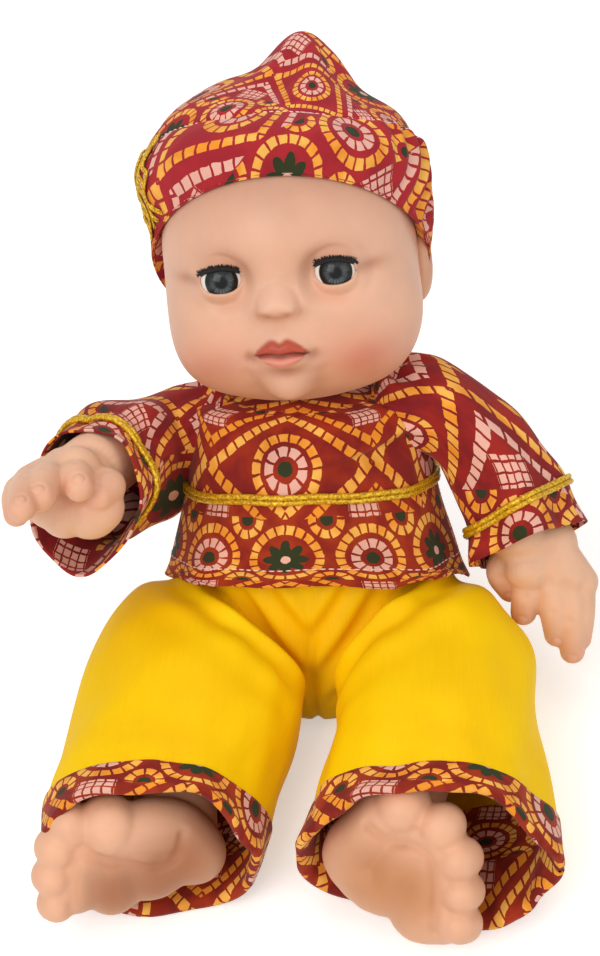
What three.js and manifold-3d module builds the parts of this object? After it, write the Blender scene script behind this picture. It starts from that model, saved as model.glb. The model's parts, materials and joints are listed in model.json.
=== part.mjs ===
// Talking baby doll, seated: a hard torso with a voice unit, soft vinyl head and limbs,
// and a printed tunic, trousers and wrapped cap.
// Millimetres, +Z up. The doll looks along -Y, its left side is +X and it sits on Z = 0.

import * as THREE from "three";
import { mergeVertices } from "three/addons/utils/BufferGeometryUtils.js";
import loadManifold from "manifold-3d";

const wasm = await loadManifold();
wasm.setup();

// Posture, in degrees
const TRUNK_LEAN = 17;
const HEAD_TILT = 6;
const HEAD_ROLL = 3;
const LEFT_ARM_RAISE = 6;
const RIGHT_ARM_RAISE = 94;
const LEFT_LEG_SPLAY = -5;
const RIGHT_LEG_SPLAY = 1.5;

// Clearances and walls
const FIT = 0.3;
const RUN = 0.5;
const WALL = 2;
const CLOTH = 1.4;

// Trunk, measured from the pelvis centre along the leaning back
const PELVIS_HEIGHT = 38;
const PELVIS_SETBACK = -4;
const TORSO_WIDTH = 84;
const TORSO_DEPTH = 68;
const TORSO_RISE = 83;
const TORSO_DROP = 31;
const NECK_RADIUS = 12;
const NECK_GAP = 4;
const SHOULDER_RISE = 66;
const SHOULDER_SPAN = 80;
const SHOULDER_TURN = 9;
const ARM_NECK_RADIUS = 7;
const SOCKET_LIP = 2.5;
const FLANGE_THICKNESS = 2;

// Hips, in the doll's own frame
const HIP_SPAN = 39;
const HIP_SETBACK = -6;
const HIP_HEIGHT = 27;
const HIP_AXIS_FORWARD = 0.21;
const HIP_AXIS_DOWN = 0.1;
const LEG_NECK_RADIUS = 11;
const HIP_SOCKET_RADIUS = 34;

// Head, measured from the neck joint
const HEAD_WIDTH = 97;
const HEAD_DEPTH = 98;
const HEAD_CENTRE_RISE = 54;
const HEAD_HALF_HEIGHT = 50;
const JAW_DROP = 57;
const JOWL_FULLNESS = 2.7;
const HEAD_WALL = 3;
const EYE_SPACING = 40.5;
const EYE_RISE = 51.5;
const EYE_RADIUS = 9.5;
const EYE_SETBACK = 36.5;
const EYE_OPENING_WIDTH = 17;
const EYE_OPENING_HEIGHT = 13;
const EYE_AXLE_RADIUS = 1;
const EYE_CUP_WALL = 1.4;
const EYE_WEIGHT_RADIUS = 3;
const LASH_LENGTH = 2;
const EAR_RISE = 46;
const EAR_SETBACK = 8;

// Cap, in the head's frame
const CAP_EASE = 2.1;
const CAP_STAND_OFF = 5.5;
const CAP_PEAK_RISE = 20;
const CAP_FULLNESS = 5;
const CAP_RIM_RISE = 50;
const CAP_RIM_TILT = 42;
const CAP_NAPE_RISE = 36;
const CAP_BAND_HEIGHT = 23;
const CAP_BAND_THICKNESS = 2.2;
const CAP_LACE_WIDTH = 9;

// Limbs
const HAND_WIDTH = 30;
const ANKLE_SETBACK = 12;
const FOOT_LENGTH = 52;
const FOOT_WIDTH = 52;

// Clothes
const WAIST_RISE = 54;
const NECKLINE_RISE = 80.5;
const BODICE_WIDTH = 96;
const BODICE_DEPTH = 80;
const HEM_RISE = 8;
const HEM_WIDTH = 120;
const HEM_DEPTH = 96;
const LACE_WIDTH = 4;
const LACE_THICKNESS = 1.2;
const SLEEVE_ROOT_RADIUS = 17;
const SLEEVE_ROOT_LIFT = 5.4;
const SLEEVE_CUFF_RADIUS = 23.5;
const SLEEVE_LENGTH = 62;
const TRIM_EASE = 0.04;
const TROUSER_LEG_WIDTH = 76;
const TROUSER_LEG_HEIGHT = 67;
const TROUSER_LEG_REACH = 122;
const CUFF_LENGTH = 17;
const CUFF_WIDTH = 86;
const CUFF_FLARE = 1.2;

// Voice unit, in the trunk's frame
const BATTERY_RISE = 32;
const CELL_RADIUS = 5.1;
const CELL_TIP_RADIUS = 2;
const CELL_LENGTH = 44;
const CELL_PITCH = 11.4;
const BOX_WALL = 1.2;
const BOX_INSET = 23;
const CONTACT_THICKNESS = 0.5;
const BOARD_WIDTH = 34;
const BOARD_HEIGHT = 24;
const BOARD_THICKNESS = 1.6;
const SPEAKER_RADIUS = 13;
const SPEAKER_DEPTH = 7;
const SPEAKER_MAGNET_DEPTH = 4.7;
const SPEAKER_RISE = 56;
const SPEAKER_INSET = 9.6;
const BUTTON_RADIUS = 8;
const BUTTON_RISE = 28;
const BUTTON_TRAVEL = 2.5;
const BUTTON_STAND = 1.5;
const SWITCH_WIDTH = 6;
const SWITCH_HEIGHT = 4;
const SWITCH_TRAVEL = 3;
const SWITCH_RISE = 4;
const SCREW_RADIUS = 1.3;
const SCREW_HEAD_RADIUS = 2.6;
const BOSS_RADIUS = 4;

// Facets
const SIDES = 16;
const WELD = 1e-4;

const UP = new THREE.Vector3(0, 0, 1);
const FRONT = new THREE.Vector3(0, -1, 0);
const BACK = new THREE.Vector3(0, 1, 0);
const LEFT = new THREE.Vector3(1, 0, 0);
const radians = THREE.MathUtils.degToRad;
const at = (x, y, z) => new THREE.Vector3(x, y, z);

const paint = (color, roughness, metalness = 0) =>
  new THREE.MeshStandardMaterial({ color, roughness, metalness });
const skin = paint("#e4b496", 0.5);
const print = paint("#a8281f", 0.9);
const satin = paint("#ffc60a", 0.55);
const gold = paint("#d9b21a", 0.4, 0.3);
const shellPlastic = paint("#e8c3a8", 0.5);
const darkPlastic = paint("#2b2b2e", 0.5);
const boardGreen = paint("#1f6b3a", 0.6);
const steel = paint("#b9bcc0", 0.3, 1);
const eyeGloss = paint("#6f7f8c", 0.1);
const lashFibre = paint("#1a1412", 0.8);
const conePaper = paint("#3a3a3a", 0.9);
const copper = paint("#b0532c", 0.5);

/** A closed geometry as a solid for joining and cutting, turned right side out. */
function solid(geometry) {
  const bare = new THREE.BufferGeometry();
  bare.setAttribute("position", geometry.getAttribute("position").clone());
  bare.setIndex(geometry.index);
  const welded = mergeVertices(bare, WELD);
  const corners = welded.index.array;
  const spots = welded.getAttribute("position");
  const [a, b, c] = [at(0, 0, 0), at(0, 0, 0), at(0, 0, 0)];
  const faces = [];
  let volume = 0;
  for (let i = 0; i < corners.length; i += 3) {
    const [p, q, r] = corners.slice(i, i + 3);
    if (p === q || q === r || r === p) continue;
    a.fromBufferAttribute(spots, p);
    b.fromBufferAttribute(spots, q);
    c.fromBufferAttribute(spots, r);
    volume += a.dot(b.cross(c));
    faces.push(p, q, r);
  }
  if (volume < 0) faces.reverse();
  const mesh = new wasm.Mesh({
    numProp: 3,
    vertProperties: new Float32Array(spots.array),
    triVerts: new Uint32Array(faces),
  });
  return new wasm.Manifold(mesh);
}

/** The geometry of a solid. */
function shapeOf(body) {
  const mesh = body.getMesh();
  const geometry = new THREE.BufferGeometry();
  geometry.setAttribute("position", new THREE.BufferAttribute(new Float32Array(mesh.vertProperties), 3));
  geometry.setIndex(new THREE.BufferAttribute(new Uint32Array(mesh.triVerts), 1));
  geometry.computeVertexNormals();
  return geometry;
}

/** A solid moved by a matrix. */
function moved(body, matrix) {
  return solid(shapeOf(body).applyMatrix4(matrix));
}

/** The mirror image of a solid across the doll's middle plane. */
function mirrored(body) {
  return moved(body, new THREE.Matrix4().makeScale(-1, 1, 1));
}

/** A solid for the left side of the doll, or its mirror image for the right side. */
function sided(body, side) {
  return side > 0 ? body : mirrored(body);
}

function joined(bodies) {
  return bodies.reduce((whole, next) => whole.add(next));
}

function cut(body, ...tools) {
  return tools.reduce((rest, tool) => rest.subtract(tool), body);
}

/** Turns the local Y axis of a cylinder to a direction and moves it to a point. */
function aimed(geometry, direction, point) {
  geometry.applyQuaternion(new THREE.Quaternion().setFromUnitVectors(BACK, direction));
  return geometry.translate(point.x, point.y, point.z);
}

/** A rod from one point to another. */
function rod(start, end, radius, sides = 16) {
  const along = end.clone().sub(start);
  const geometry = new THREE.CylinderGeometry(radius, radius, along.length(), sides);
  return solid(aimed(geometry, along.clone().normalize(), start.clone().add(end).multiplyScalar(0.5)));
}

/** A turned piece: profile points are [radius, distance along the direction]. */
function turned(profile, direction, point, sides = 20) {
  const outline = profile.map(([radius, along]) => new THREE.Vector2(radius, along));
  return solid(aimed(new THREE.LatheGeometry(outline, sides), direction, point));
}

/** A block between two corners. */
function block(low, high) {
  const size = high.clone().sub(low);
  const middle = high.clone().add(low).multiplyScalar(0.5);
  return solid(new THREE.BoxGeometry(size.x, size.y, size.z).translate(middle.x, middle.y, middle.z));
}

/** An ellipsoid. */
function ball(centre, rx, ry, rz, columns = 16, rows = 10) {
  const geometry = new THREE.SphereGeometry(1, columns, rows).rotateX(Math.PI / 2);
  return solid(geometry.scale(rx, ry, rz).translate(centre.x, centre.y, centre.z));
}

/** One section of a loft: its centre, the way it faces, and its two half sizes. */
function section(centre, facing, wide, high = wide) {
  return { centre, facing: facing.clone().normalize(), wide, high };
}

/** A level section of the trunk or its clothes. */
function level(rise, wide, deep, y = 0) {
  return section(at(0, y, rise), UP, wide, deep);
}

/** The ring of points of one section, with its height measured towards up. */
function ringPoints(centre, facing, wide, high, up, sides, ripple) {
  const rise = up.clone().addScaledVector(facing, -up.dot(facing)).normalize();
  const across = rise.clone().cross(facing);
  return Array.from({ length: sides }, (_, i) => {
    const angle = (i / sides) * 2 * Math.PI;
    const swell = 1 + ripple(angle);
    return centre
      .clone()
      .addScaledVector(across, wide * swell * Math.cos(angle))
      .addScaledVector(rise, high * swell * Math.sin(angle));
  });
}

/** A smooth closed body through a run of sections. */
function loft(sections, { up = UP, sides = SIDES, rows = 1, grow = 0, overrun = 0, ripple = () => 0 } = {}) {
  const centres = new THREE.CatmullRomCurve3(sections.map((s) => s.centre));
  const facings = new THREE.CatmullRomCurve3(sections.map((s) => s.facing));
  const sizes = new THREE.CatmullRomCurve3(sections.map((s) => at(s.wide, s.high, 0)));
  const steps = (sections.length - 1) * rows;
  const points = [];
  for (let i = 0; i <= steps; i++) {
    const t = i / steps;
    const facing = facings.getPoint(t).normalize();
    const centre = centres.getPoint(t);
    if (i === 0) centre.addScaledVector(facing, -overrun);
    if (i === steps) centre.addScaledVector(facing, overrun);
    const size = sizes.getPoint(t);
    points.push(...ringPoints(centre, facing, size.x + grow, size.y + grow, up, sides, (a) => ripple(a, t)));
  }
  const faces = [];
  for (let i = 0; i < steps; i++) {
    for (let j = 0; j < sides; j++) {
      const a = i * sides + j;
      const b = i * sides + ((j + 1) % sides);
      faces.push(a, b, b + sides, a, b + sides, a + sides);
    }
  }
  for (let j = 1; j < sides - 1; j++) {
    faces.push(0, j + 1, j);
    const last = steps * sides;
    faces.push(last, last + j, last + j + 1);
  }
  const geometry = new THREE.BufferGeometry().setFromPoints(points);
  geometry.setIndex(faces);
  return solid(geometry);
}

/** A cloth tube through a run of sections, open at both ends. */
function clothTube(sections, options = {}) {
  const hollow = loft(sections, { ...options, grow: -CLOTH, overrun: 3 });
  return cut(loft(sections, options), hollow);
}

/** Adds a named piece of the doll to a group. */
function piece(name, body, material, group) {
  const mesh = new THREE.Mesh(shapeOf(body), material);
  mesh.name = name;
  group.add(mesh);
}

// Frames
const doll = new THREE.Group();
const trunk = new THREE.Group();
trunk.position.set(0, PELVIS_SETBACK, PELVIS_HEIGHT);
trunk.rotation.x = -radians(TRUNK_LEAN);
doll.add(trunk);
const head = new THREE.Group();
head.position.set(0, 0, TORSO_RISE);
head.rotation.set(-radians(HEAD_TILT), -radians(HEAD_ROLL), 0);
trunk.add(head);
doll.updateMatrixWorld(true);
const trunkToDoll = trunk.matrixWorld.clone();
const dollToTrunk = trunkToDoll.clone().invert();

const hipAxisOut = Math.sqrt(1 - HIP_AXIS_FORWARD ** 2 - HIP_AXIS_DOWN ** 2);
const hipAxis = at(hipAxisOut, -HIP_AXIS_FORWARD, -HIP_AXIS_DOWN);
const hip = at(HIP_SPAN / 2, HIP_SETBACK, HIP_HEIGHT);
const shoulder = at(SHOULDER_SPAN / 2, 0, SHOULDER_RISE);
const floor = block(at(-300, -300, -60), at(300, 300, 0));

// Torso shells
function torsoBody(grow = 0) {
  const wide = TORSO_WIDTH / 2;
  const deep = TORSO_DEPTH / 2;
  const sections = [
    level(-TORSO_DROP, 0.4 * wide, 0.4 * deep),
    level(-0.87 * TORSO_DROP, 0.72 * wide, 0.74 * deep),
    level(-0.45 * TORSO_DROP, 0.95 * wide, 0.96 * deep),
    level(0.1 * TORSO_RISE, wide, deep),
    level(0.38 * TORSO_RISE, 0.98 * wide, 0.95 * deep),
    level(0.62 * TORSO_RISE, 0.95 * wide, 0.84 * deep),
    level(0.8 * TORSO_RISE, wide, 0.84 * deep),
    level(0.9 * TORSO_RISE, 0.98 * wide, 0.76 * deep),
    level(0.925 * TORSO_RISE, 0.8 * wide, 0.58 * deep),
    level(TORSO_RISE - NECK_GAP, NECK_RADIUS + 5, NECK_RADIUS + 4),
  ];
  return loft(sections, { up: BACK, rows: 1, grow, overrun: grow });
}

/** The pocket that a hip swings in, with its flat floor shifted along the hip axis. */
function hipPocket(side, radius, shift) {
  const mouth = hip.clone().addScaledVector(hipAxis, shift);
  const pocket = rod(mouth, mouth.clone().addScaledVector(hipAxis, 90), radius, 14);
  return moved(sided(pocket, side), dollToTrunk);
}

/** Moves a body made along +X to the axis of a shoulder. */
function atShoulder(body, side) {
  const place = new THREE.Matrix4().makeRotationZ(-radians(SHOULDER_TURN)).setPosition(shoulder);
  return sided(moved(body, place), side);
}

/** The flat that an arm turns on, shifted along the shoulder axis. */
function armFlat(side, shift) {
  return atShoulder(block(at(shift, -60, -24), at(60, 60, 24)), side);
}

function neckHole() {
  return rod(at(0, 0, TORSO_RISE - 20), at(0, 0, TORSO_RISE + 10), NECK_RADIUS + RUN, 18);
}

const sides = [1, -1];
const torsoOuter = cut(
  torsoBody(),
  ...sides.map((side) => hipPocket(side, HIP_SOCKET_RADIUS, 0)),
  ...sides.map((side) => armFlat(side, 0)),
);
const torsoCavity = cut(
  torsoBody(-WALL),
  ...sides.map((side) => hipPocket(side, HIP_SOCKET_RADIUS + WALL, -WALL)),
  ...sides.map((side) => armFlat(side, -WALL)),
);
const torsoLiner = cut(
  torsoBody(-WALL - FIT),
  ...sides.map((side) => hipPocket(side, HIP_SOCKET_RADIUS + WALL + FIT, -WALL - FIT)),
  ...sides.map((side) => armFlat(side, -WALL - FIT)),
);

const hipLine = (side, from, to, radius) => {
  const start = hip.clone().addScaledVector(hipAxis, from);
  const end = hip.clone().addScaledVector(hipAxis, to);
  return moved(sided(rod(start, end, radius, 14), side), dollToTrunk);
};
const armHole = (side) => atShoulder(rod(at(-12, 0, 0), at(12, 0, 0), ARM_NECK_RADIUS + RUN), side);

const boxFront = TORSO_DEPTH / 2 - BOX_INSET;
const boxHalfWidth = CELL_LENGTH / 2 + CONTACT_THICKNESS + FIT + 2 * BOX_WALL;
const boxHalfHeight = CELL_PITCH / 2 + CELL_RADIUS + FIT + BOX_WALL;
const hatch = (inset) =>
  block(
    at(-boxHalfWidth + inset, boxFront, BATTERY_RISE - boxHalfHeight + inset),
    at(boxHalfWidth - inset, 80, BATTERY_RISE + boxHalfHeight - inset),
  );

const bossSpots = [
  at(0.62 * TORSO_WIDTH / 2, 0, 0.68 * TORSO_RISE),
  at(-0.62 * TORSO_WIDTH / 2, 0, 0.68 * TORSO_RISE),
  at(0.76 * TORSO_WIDTH / 2, 0, 0.48 * TORSO_RISE),
  at(-0.76 * TORSO_WIDTH / 2, 0, 0.48 * TORSO_RISE),
];
const screwSeat = 6;
const screwLength = 12;

/** A clear hole for a screw of a radius, from a depth out through the back. */
function screwHole(spot, from, radius) {
  return rod(spot.clone().setY(from), spot.clone().setY(60), radius + FIT, 7);
}

function torsoShells() {
  const hollow = cut(torsoOuter, torsoCavity);
  const posts = bossSpots.map((spot) =>
    rod(spot.clone().setY(-60), spot.clone().setY(60), BOSS_RADIUS, 6).intersect(torsoOuter),
  );
  const speakerHoles = [];
  for (let ring = 0; ring < 2; ring++) {
    const count = ring === 0 ? 1 : 6 * ring;
    for (let i = 0; i < count; i++) {
      const turn = (i / count) * 2 * Math.PI;
      const x = 5 * ring * Math.cos(turn);
      const z = SPEAKER_RISE + 5 * ring * Math.sin(turn);
      speakerHoles.push(rod(at(x, -60, z), at(x, -10, z), 1.4, 6));
    }
  }
  const holes = [
    neckHole(),
    ...sides.map((side) => hipLine(side, -10, 10, LEG_NECK_RADIUS + RUN)),
    ...sides.map(armHole),
    hatch(0),
    rod(at(0, -60, BUTTON_RISE), at(0, -10, BUTTON_RISE), BUTTON_RADIUS + RUN, 18),
    switchSlot(),
    ...speakerHoles,
    ...bossSpots.map((spot) => screwHole(spot, screwSeat, SCREW_HEAD_RADIUS)),
    ...bossSpots.map((spot) => screwHole(spot, -screwLength, SCREW_RADIUS)),
  ];
  const whole = cut(joined([hollow, ...posts]), ...holes);
  const frontHalf = block(at(-100, -100, -100), at(100, -FIT / 2, 200));
  const backHalf = block(at(-100, FIT / 2, -100), at(100, 100, 200));
  piece("torso_front_shell", whole.intersect(frontHalf), shellPlastic, trunk);
  piece("torso_back_shell", whole.intersect(backHalf), shellPlastic, trunk);
  bossSpots.forEach((spot, i) => {
    const profile = [
      [0, -screwLength + 1 + screwSeat],
      [SCREW_RADIUS, -screwLength + 2 + screwSeat],
      [SCREW_RADIUS, FIT],
      [SCREW_HEAD_RADIUS, FIT],
      [SCREW_HEAD_RADIUS, 2],
      [0, 2],
    ];
    piece(`torso_screw_${i + 1}`, turned(profile, BACK, spot.clone().setY(screwSeat), 8), steel, trunk);
  });
}

// Power switch in the back
const switchBack = TORSO_DEPTH / 2 - WALL;
function switchSlot() {
  const halfWidth = (SWITCH_WIDTH + SWITCH_TRAVEL) / 2 + RUN;
  const halfHeight = SWITCH_HEIGHT / 2 + RUN;
  return block(at(-halfWidth, 20, SWITCH_RISE - halfHeight), at(halfWidth, 60, SWITCH_RISE + halfHeight));
}

function powerSwitch() {
  const left = -(SWITCH_WIDTH + SWITCH_TRAVEL) / 2;
  const knob = block(
    at(left, switchBack - 2 * WALL, SWITCH_RISE - SWITCH_HEIGHT / 2),
    at(left + SWITCH_WIDTH, switchBack + WALL + 1, SWITCH_RISE + SWITCH_HEIGHT / 2),
  );
  const plate = block(
    at(left - 4, switchBack - 2 * WALL, SWITCH_RISE - SWITCH_HEIGHT / 2 - 2),
    at(left + SWITCH_WIDTH + 4, switchBack - WALL, SWITCH_RISE + SWITCH_HEIGHT / 2 + 2),
  );
  piece("power_switch", joined([knob, plate]), darkPlastic, trunk);
}

// Battery compartment
function batteryUnit() {
  const inner = block(
    at(-boxHalfWidth + BOX_WALL, boxFront + BOX_WALL, BATTERY_RISE - boxHalfHeight + BOX_WALL),
    at(boxHalfWidth - BOX_WALL, 80, BATTERY_RISE + boxHalfHeight - BOX_WALL),
  );
  piece("battery_box", cut(hatch(0), inner).intersect(torsoLiner), darkPlastic, trunk);
  const lid = cut(torsoOuter, torsoBody(-WALL)).intersect(hatch(FIT));
  const lidScrew = at(0, 0.9 * TORSO_DEPTH / 2 - WALL, BATTERY_RISE + boxHalfHeight - 4);
  const lidHole = rod(lidScrew.clone().setY(0), lidScrew.clone().setY(60), SCREW_RADIUS + FIT, 8);
  piece("battery_cover", cut(lid, lidHole), shellPlastic, trunk);
  const profile = [
    [0, -6],
    [SCREW_RADIUS, -5],
    [SCREW_RADIUS, WALL + 2 * FIT],
    [SCREW_HEAD_RADIUS, WALL + 2 * FIT],
    [SCREW_HEAD_RADIUS, WALL + 1.5],
    [0, WALL + 1.5],
  ];
  piece("battery_cover_screw", turned(profile, BACK, lidScrew, 8), steel, trunk);
  const cellDepth = boxFront + BOX_WALL + CELL_RADIUS + FIT;
  [-1, 1].forEach((row, i) => {
    const rise = BATTERY_RISE + (row * CELL_PITCH) / 2;
    const half = CELL_LENGTH / 2;
    const cell = [
      [0, -half], [CELL_RADIUS, -half], [CELL_RADIUS, half - 1],
      [CELL_TIP_RADIUS, half - 1], [CELL_TIP_RADIUS, half], [0, half],
    ];
    const pointing = LEFT.clone().multiplyScalar(row);
    piece(`battery_cell_${i + 1}`, turned(cell, pointing, at(0, cellDepth, rise), 16), copper, trunk);
  });
  sides.forEach((side) => {
    const near = CELL_LENGTH / 2 + FIT;
    const plate = block(
      at(near, boxFront + BOX_WALL + FIT, BATTERY_RISE - boxHalfHeight + BOX_WALL + FIT),
      at(near + CONTACT_THICKNESS, cellDepth + 3, BATTERY_RISE + boxHalfHeight - BOX_WALL - FIT),
    );
    piece(side > 0 ? "contact_plate_left" : "contact_plate_right", sided(plate, side), steel, trunk);
  });
}

// Circuit board, speaker and talk button
const boardBack = boxFront - FIT;
const boardFront = boardBack - BOARD_THICKNESS;
const tactHeight = 5;
const tactFront = boardFront - FIT - tactHeight;
const buttonFace = -0.97 * TORSO_DEPTH / 2 - BUTTON_STAND;
const stemEnd = tactFront - FIT - BUTTON_TRAVEL;
const flangeFront = -TORSO_DEPTH / 2 + WALL + 5;
const springSeat = flangeFront + FLANGE_THICKNESS + FIT;

function voiceBoard() {
  const half = BOARD_WIDTH / 2;
  const low = BUTTON_RISE - BOARD_HEIGHT / 2;
  const board = block(at(-half, boardFront, low), at(half, boardBack, low + BOARD_HEIGHT));
  piece("circuit_board", board, boardGreen, trunk);
  const tact = block(at(-3, tactFront, BUTTON_RISE - 3), at(3, boardFront - FIT, BUTTON_RISE + 3));
  piece("tact_switch", tact, darkPlastic, trunk);
  const chip = block(at(7, boardFront - FIT - 2, BUTTON_RISE - 4), at(15, boardFront - FIT, BUTTON_RISE + 4));
  piece("sound_chip", chip, darkPlastic, trunk);
}

/** A coil spring as one tube along a helix along the button. */
function coilSpring(from, to, coilRadius, wireRadius, turns) {
  const steps = turns * 8;
  const path = [];
  for (let i = 0; i <= steps; i++) {
    const turn = (i / steps) * turns * 2 * Math.PI;
    const y = from + wireRadius + (i / steps) * (to - from - 2 * wireRadius);
    path.push(at(coilRadius * Math.cos(turn), y, BUTTON_RISE + coilRadius * Math.sin(turn)));
  }
  const sections = path.map((point, i) => {
    const ahead = path[Math.min(i + 1, steps)].clone().sub(path[Math.max(i - 1, 0)]);
    return section(point, ahead, wireRadius);
  });
  return loft(sections, { up: BACK, sides: 5, rows: 1 });
}

function talkButton() {
  const profile = [
    [0, buttonFace],
    [0.8 * BUTTON_RADIUS, buttonFace + 0.3],
    [BUTTON_RADIUS, buttonFace + 1.5],
    [BUTTON_RADIUS, flangeFront],
    [BUTTON_RADIUS + 2.5, flangeFront],
    [BUTTON_RADIUS + 2.5, flangeFront + FLANGE_THICKNESS],
    [2.5, flangeFront + FLANGE_THICKNESS],
    [2.5, stemEnd],
    [0, stemEnd],
  ];
  piece("talk_button", turned(profile, BACK, at(0, 0, BUTTON_RISE), 18), darkPlastic, trunk);
  piece("button_spring", coilSpring(springSeat, boardFront - FIT, 5.5, 0.4, 4), steel, trunk);
}

function loudspeaker() {
  const face = -TORSO_DEPTH / 2 + SPEAKER_INSET;
  const r = SPEAKER_RADIUS;
  const point = at(0, face, SPEAKER_RISE);
  const basket = [
    [r - 1.5, 0], [r, 0], [r, 1.5], [0.55 * r, SPEAKER_DEPTH], [0.4 * r, SPEAKER_DEPTH],
    [0.4 * r, SPEAKER_DEPTH - 1], [0.5 * r, SPEAKER_DEPTH - 1], [r - 1.5, 1.5], [r - 1.5, 0],
  ];
  piece("speaker_basket", turned(basket, BACK, point, 18), steel, trunk);
  const cone = [
    [0, 2], [0.3 * r, 3], [r - 1.5 - FIT, 0], [r - 1.5 - FIT, 0.6], [0.3 * r, 3.6], [0, 2.6],
  ];
  piece("speaker_cone", turned(cone, BACK, point, 18), conePaper, trunk);
  const magnetFront = SPEAKER_DEPTH + FIT;
  const magnetBack = magnetFront + SPEAKER_MAGNET_DEPTH;
  const magnet = [[0, magnetFront], [0.6 * r, magnetFront], [0.6 * r, magnetBack], [0, magnetBack]];
  piece("speaker_magnet", turned(magnet, BACK, point, 20), darkPlastic, trunk);
}

// Head
const headHalf = at(HEAD_WIDTH / 2, HEAD_DEPTH / 2, HEAD_HALF_HEIGHT);
const headCentre = at(0, 0, HEAD_CENTRE_RISE);

/** A soft bump: its place on the face, how far it reaches and how far it stands out. */
const faceBumps = [
  { spot: at(0, -50, 41), reach: 7, out: 7 },
  { spot: at(-8, -47, 38), reach: 5, out: 1.8 },
  { spot: at(8, -47, 38), reach: 5, out: 1.8 },
  { spot: at(-30, -32, 28), reach: 20, out: 5 },
  { spot: at(30, -32, 28), reach: 20, out: 5 },
  { spot: at(0, -46, 22), reach: 9, out: 4 },
  { spot: at(0, -40, 8), reach: 11, out: 5 },
  { spot: at(-20, -46, 55), reach: 12, out: -2 },
  { spot: at(20, -46, 55), reach: 12, out: -2 },
  { spot: at(0, -42, 78), reach: 26, out: 2 },
];

/** How much wider than an ellipsoid the head is, at a share of the way down to the jaw. */
function jowl(share) {
  if (share > 0.99) return 0.5;
  return (1 - share ** JOWL_FULLNESS) ** (1 / JOWL_FULLNESS) / Math.sqrt(1 - share * share) - 1;
}

/** The head's skin, grown by an offset, with or without its features. */
function headBody(grow, bumps = faceBumps, columns = 22, rows = 16) {
  const geometry = new THREE.SphereGeometry(1, columns, rows).rotateX(Math.PI / 2);
  const spots = geometry.getAttribute("position");
  const spot = at(0, 0, 0);
  for (let i = 0; i < spots.count; i++) {
    const outward = spot.fromBufferAttribute(spots, i).clone().normalize();
    const fullness = 1 + (0.6 - 0.4 * outward.y) * jowl(Math.max(-outward.z, 0));
    const height = outward.z < 0 ? JAW_DROP : headHalf.z;
    spot.set(headHalf.x * fullness, headHalf.y * fullness, height).multiply(outward).add(headCentre);
    let out = grow;
    for (const bump of bumps) {
      out += bump.out * Math.exp(-spot.distanceToSquared(bump.spot) / (bump.reach * bump.reach));
    }
    spot.addScaledVector(outward, out);
    spots.setXYZ(i, spot.x, spot.y, spot.z);
  }
  return solid(geometry);
}

const earSpot = (side) => at(side * (headHalf.x - 0.5), EAR_SETBACK, EAR_RISE);
const cupRadius = EYE_RADIUS + RUN + EYE_CUP_WALL;
const axleReach = cupRadius - EYE_CUP_WALL / 2;
const eyeCentre = (side) => at((side * EYE_SPACING) / 2, -EYE_SETBACK, EYE_RISE);

function headShell() {
  const straighten = new THREE.Matrix4().makeRotationFromEuler(head.rotation).invert();
  const flangeTop = -NECK_GAP - SOCKET_LIP - RUN;
  const profile = [
    [0, flangeTop - FLANGE_THICKNESS],
    [NECK_RADIUS + 3, flangeTop - FLANGE_THICKNESS],
    [NECK_RADIUS + 3, flangeTop],
    [NECK_RADIUS, flangeTop],
    [NECK_RADIUS, 8],
    [0, 8],
  ];
  const neck = moved(turned(profile, UP, at(0, 0, 0), 18), straighten);
  const ears = sides.map((side) => ball(earSpot(side), 4, 7, 10, 8, 6));
  const outer = joined([headBody(0), ...ears, neck]);
  const eyeCuts = sides.flatMap((side) => {
    const centre = eyeCentre(side);
    const window = new THREE.CylinderGeometry(1, 1, 40, 18);
    window.scale(EYE_OPENING_WIDTH / 2, 1, EYE_OPENING_HEIGHT / 2).translate(centre.x, centre.y - 20, centre.z);
    const reach = at(axleReach + FIT, 0, 0);
    const axleRoom = rod(centre.clone().sub(reach), centre.clone().add(reach), EYE_AXLE_RADIUS + FIT, 10);
    return [solid(window), axleRoom, ball(centre, EYE_RADIUS + RUN, EYE_RADIUS + RUN, EYE_RADIUS + RUN, 12, 8)];
  });
  const throat = moved(rod(at(0, 0, -20), at(0, 0, 20), NECK_RADIUS - WALL, 16), straighten);
  piece("head_shell", cut(outer, headBody(-HEAD_WALL, [], 12, 9), throat, ...eyeCuts), skin, head);
}

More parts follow.
